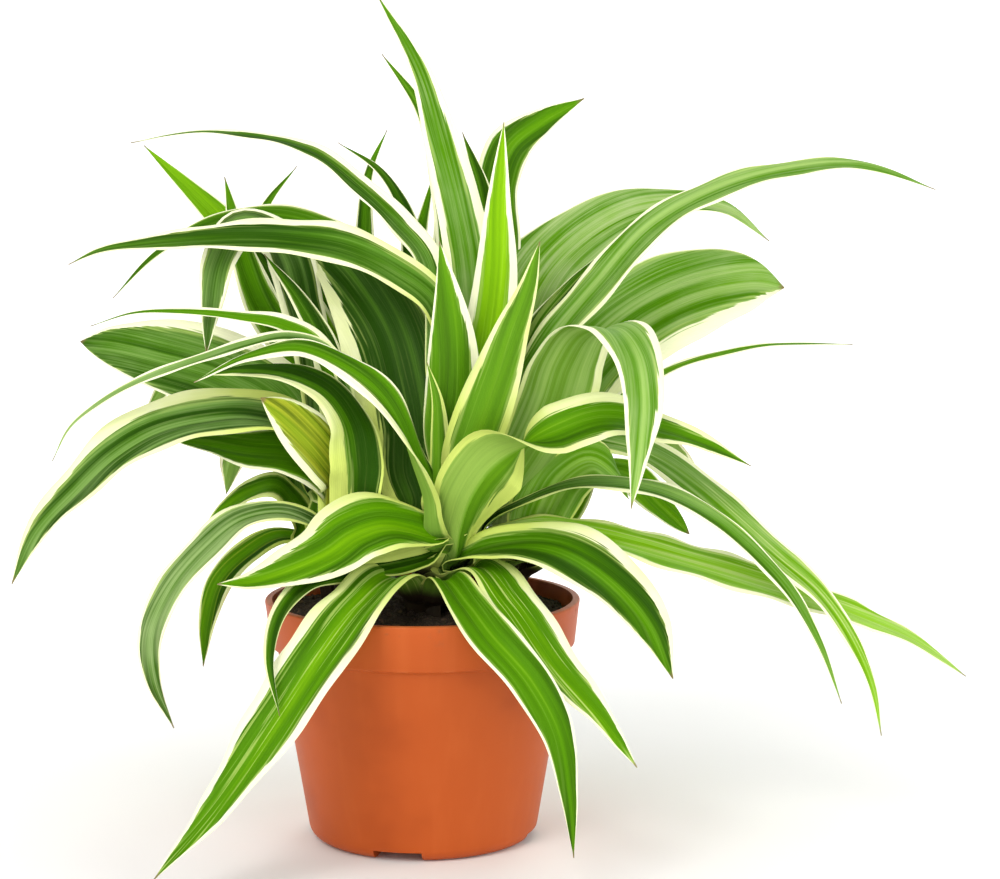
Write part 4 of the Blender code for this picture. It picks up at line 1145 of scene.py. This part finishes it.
# The mesh of a body with each tool cut out of it by a Boolean
def cutMesh(mesh, tools):
    body = bpy.data.objects.new("body", mesh)
    group = bpy.data.collections.new("tools")
    bpy.context.scene.collection.objects.link(body)
    for tool in tools:
        group.objects.link(bpy.data.objects.new("tool", tool))
    cut = body.modifiers.new("cut", "BOOLEAN")
    cut.solver = "EXACT"
    cut.operand_type = "COLLECTION"
    cut.collection = group
    done = bpy.data.meshes.new_from_object(body.evaluated_get(bpy.context.evaluated_depsgraph_get()))
    for thing in [body, *group.objects]:
        bpy.data.objects.remove(thing)
    bpy.data.collections.remove(group)
    return done


# The shell, less its inside, the channels under its foot and a round hole at each channel's inner end
def potMesh():
    make = potMake
    above = make["height"] + 1
    shell = turnedMesh("shell", np.vstack([outerProfile(), [(0, make["height"])]]), make["sides"])
    inside = turnedMesh("inside", np.vstack([innerProfile(above), [(0, above)]]), make["sides"])
    inside = cutMesh(inside, channelMeshes(make["wall"]))
    reach = (make["channelStart"] + 2 * make["holeRadius"]) * mm
    radius, top = make["holeRadius"], make["channelHeight"] + make["cutPast"]
    holes = []
    for turn in channelTurns:
        hole = turnedMesh("hole", [(0, -1), (radius, -1), (radius, top), (0, top)], make["holeSides"])
        hole.transform(Matrix.Translation((reach * math.cos(turn), reach * math.sin(turn), 0)))
        holes.append(hole)
    shell = cutMesh(shell, [inside])
    shell = cutMesh(shell, channelMeshes(0))
    return cutMesh(shell, holes)


# Moulded terracotta plastic: faint clouds, upright flow marks, lighter scuffs on the lip, under the band
# and at the foot, and dust below the lip
def potFinish(name, look):
    pot = Finish(name, look, Specular_IOR_Level=0.2)
    place = pot.place()
    x, y, z = pot.split(place)
    cloud = pot.noise(place, scale=22, detail=3, roughness=0.55)
    flow = pot.noise(pot.point(x * 160, y * 160, z * 9), detail=2)
    grain = pot.noise(place, scale=2600, detail=2)
    colour = pot.mix("dark", "clay", pot.step("clay", cloud))
    colour = pot.mix(colour, "light", pot.step("light", cloud * 0.6 + flow * 0.4) * 0.6)
    lip = pot.step("lip", z)
    band = pot.step("band", abs(z - look["bandFoot"] * mm) * -1)
    foot = pot.step("foot", z * -1)
    wear = pot.step("wear", (lip + band * 0.7 + foot) * 0.55 + (grain + flow - 1.0) * 0.7)
    colour = pot.mix(colour, "scuff", wear * 0.4)
    splash = pot.noise(place, scale=120, detail=4, roughness=0.7)
    dust = pot.step("below", z) * pot.step("dust", splash)
    colour = pot.mix(colour, "dust", dust * 0.35)
    pot.show(colour, 0.40 + cloud * 0.08 + flow * 0.06 + dust * 0.2)
    pot.relief(grain * 0.5 + flow * 0.5 + cloud, strength=0.22, distance=0.25 * mm)
    return pot


print("pot")
potSkin = potFinish("terracottaPlastic", potMake)
finishPiece("potShell", potMesh(), potSkin, "pot_plastic", "pot", sharp=potMake["sharp"])


# Stage: a pale floor that rises to a rim all round, far from the plant; metres
stageMake = {
    "near": (0.001, 0.8),
    "flat": 2.6,
    "reach": 4.4,
    "rise": 1.8,
    "sides": 96,
    "climbSteps": 24,
    "glow": 0.6,
    "colours": {
        "shade": (0.88, 0.88, 0.875, 1),
        "pale": (0.91, 0.91, 0.905, 1),
        "black": (0, 0, 0, 1),
        "white": (1, 1, 1, 1),
    },
    "steps": {"glow": (0.05, 0.9)},
}


# The floor is level, and then climbs as a quarter of an ellipse
def stageMesh():
    make = stageMake
    climb = np.linspace(0, math.pi / 2, make["climbSteps"])
    radius = make["flat"] + (make["reach"] - make["flat"]) * np.sin(climb)
    height = make["rise"] * (1 - np.cos(climb))
    grid = turnedGrid([*make["near"], *radius], [0, 0, *height], make["sides"])
    return gridMesh("floor", grid, False)


print("stage")
paint = Finish("floorPaint", stageMake, Specular_IOR_Level=0.1, Emission_Strength=stageMake["glow"])
clouds = paint.noise(paint.place(), scale=3, detail=2)
paint.show(paint.mix("shade", "pale", clouds), 0.9)
spot = paint.node("ShaderNodeVectorMath", {"operation": "LENGTH"}, {0: paint.place()}, "Value")
glow = paint.mix("black", "white", paint.step("glow", spot))
paint.join(glow, paint.shader.inputs["Emission Color"])
floor = bpy.data.objects.new("floor", stageMesh())
floor.data.materials.append(paint.material)
floor.data.shade_smooth()
bpy.context.scene.collection.objects.link(floor)

# Light: a pale sky and three broad lamps, each as (place, what it faces, size, watts, colour)
lamps = {
    "key": ((-0.55, -1.15, 1.25), (0.0, 0.0, 0.16), 0.9, 13, (1.0, 0.98, 0.94)),
    "fill": ((1.1, -1.0, 0.75), (0.0, 0.0, 0.14), 1.1, 5, (0.96, 0.98, 1.0)),
    "rear": ((0.3, 1.1, 1.1), (0.0, 0.0, 0.18), 0.9, 7, (1.0, 1.0, 0.96)),
}
skyStrength = 0.6


# Put a lamp at its place, facing its target
def aimed(thing, place, target):
    gaze = unit(np.array(target, float) - np.array(place, float))
    pitch, yaw = math.asin(gaze[2]), math.atan2(-gaze[0], gaze[1])
    thing.location = place
    thing.rotation_euler = (math.pi / 2 + pitch, 0, yaw)
    bpy.context.scene.collection.objects.link(thing)


for name, (place, target, size, watts, colour) in lamps.items():
    lamp = bpy.data.lights.new(name, "AREA")
    lamp.shape, lamp.size, lamp.energy, lamp.color = "DISK", size, watts, colour
    aimed(bpy.data.objects.new(name, lamp), place, target)
world = bpy.data.worlds.new("sky")
world.use_nodes = True
backdrop = world.node_tree.nodes["Background"].inputs
backdrop["Color"].default_value = (1, 1, 1, 1)
backdrop["Strength"].default_value = skyStrength
bpy.context.scene.world = world
bpy.context.scene.view_settings.view_transform = "Standard"

# Camera where the photographer stood: level with the leaves' tops and looking slightly down
cameraMake = {
    "pitch": 7.15,
    "lens": 92.66,
    "sensor": 36,
    "clip": (0.05, 30),
}
lens = bpy.data.cameras.new("camera")
lens.lens, lens.sensor_width, lens.sensor_fit = cameraMake["lens"], cameraMake["sensor"], "HORIZONTAL"
lens.clip_start, lens.clip_end = cameraMake["clip"]
camera = bpy.data.objects.new("camera", lens)
camera.location = viewer
camera.rotation_euler = (math.radians(90 - cameraMake["pitch"]), 0, 0)
bpy.context.scene.collection.objects.link(camera)
bpy.context.scene.camera = camera

bpy.context.view_layer.update()
print("done")
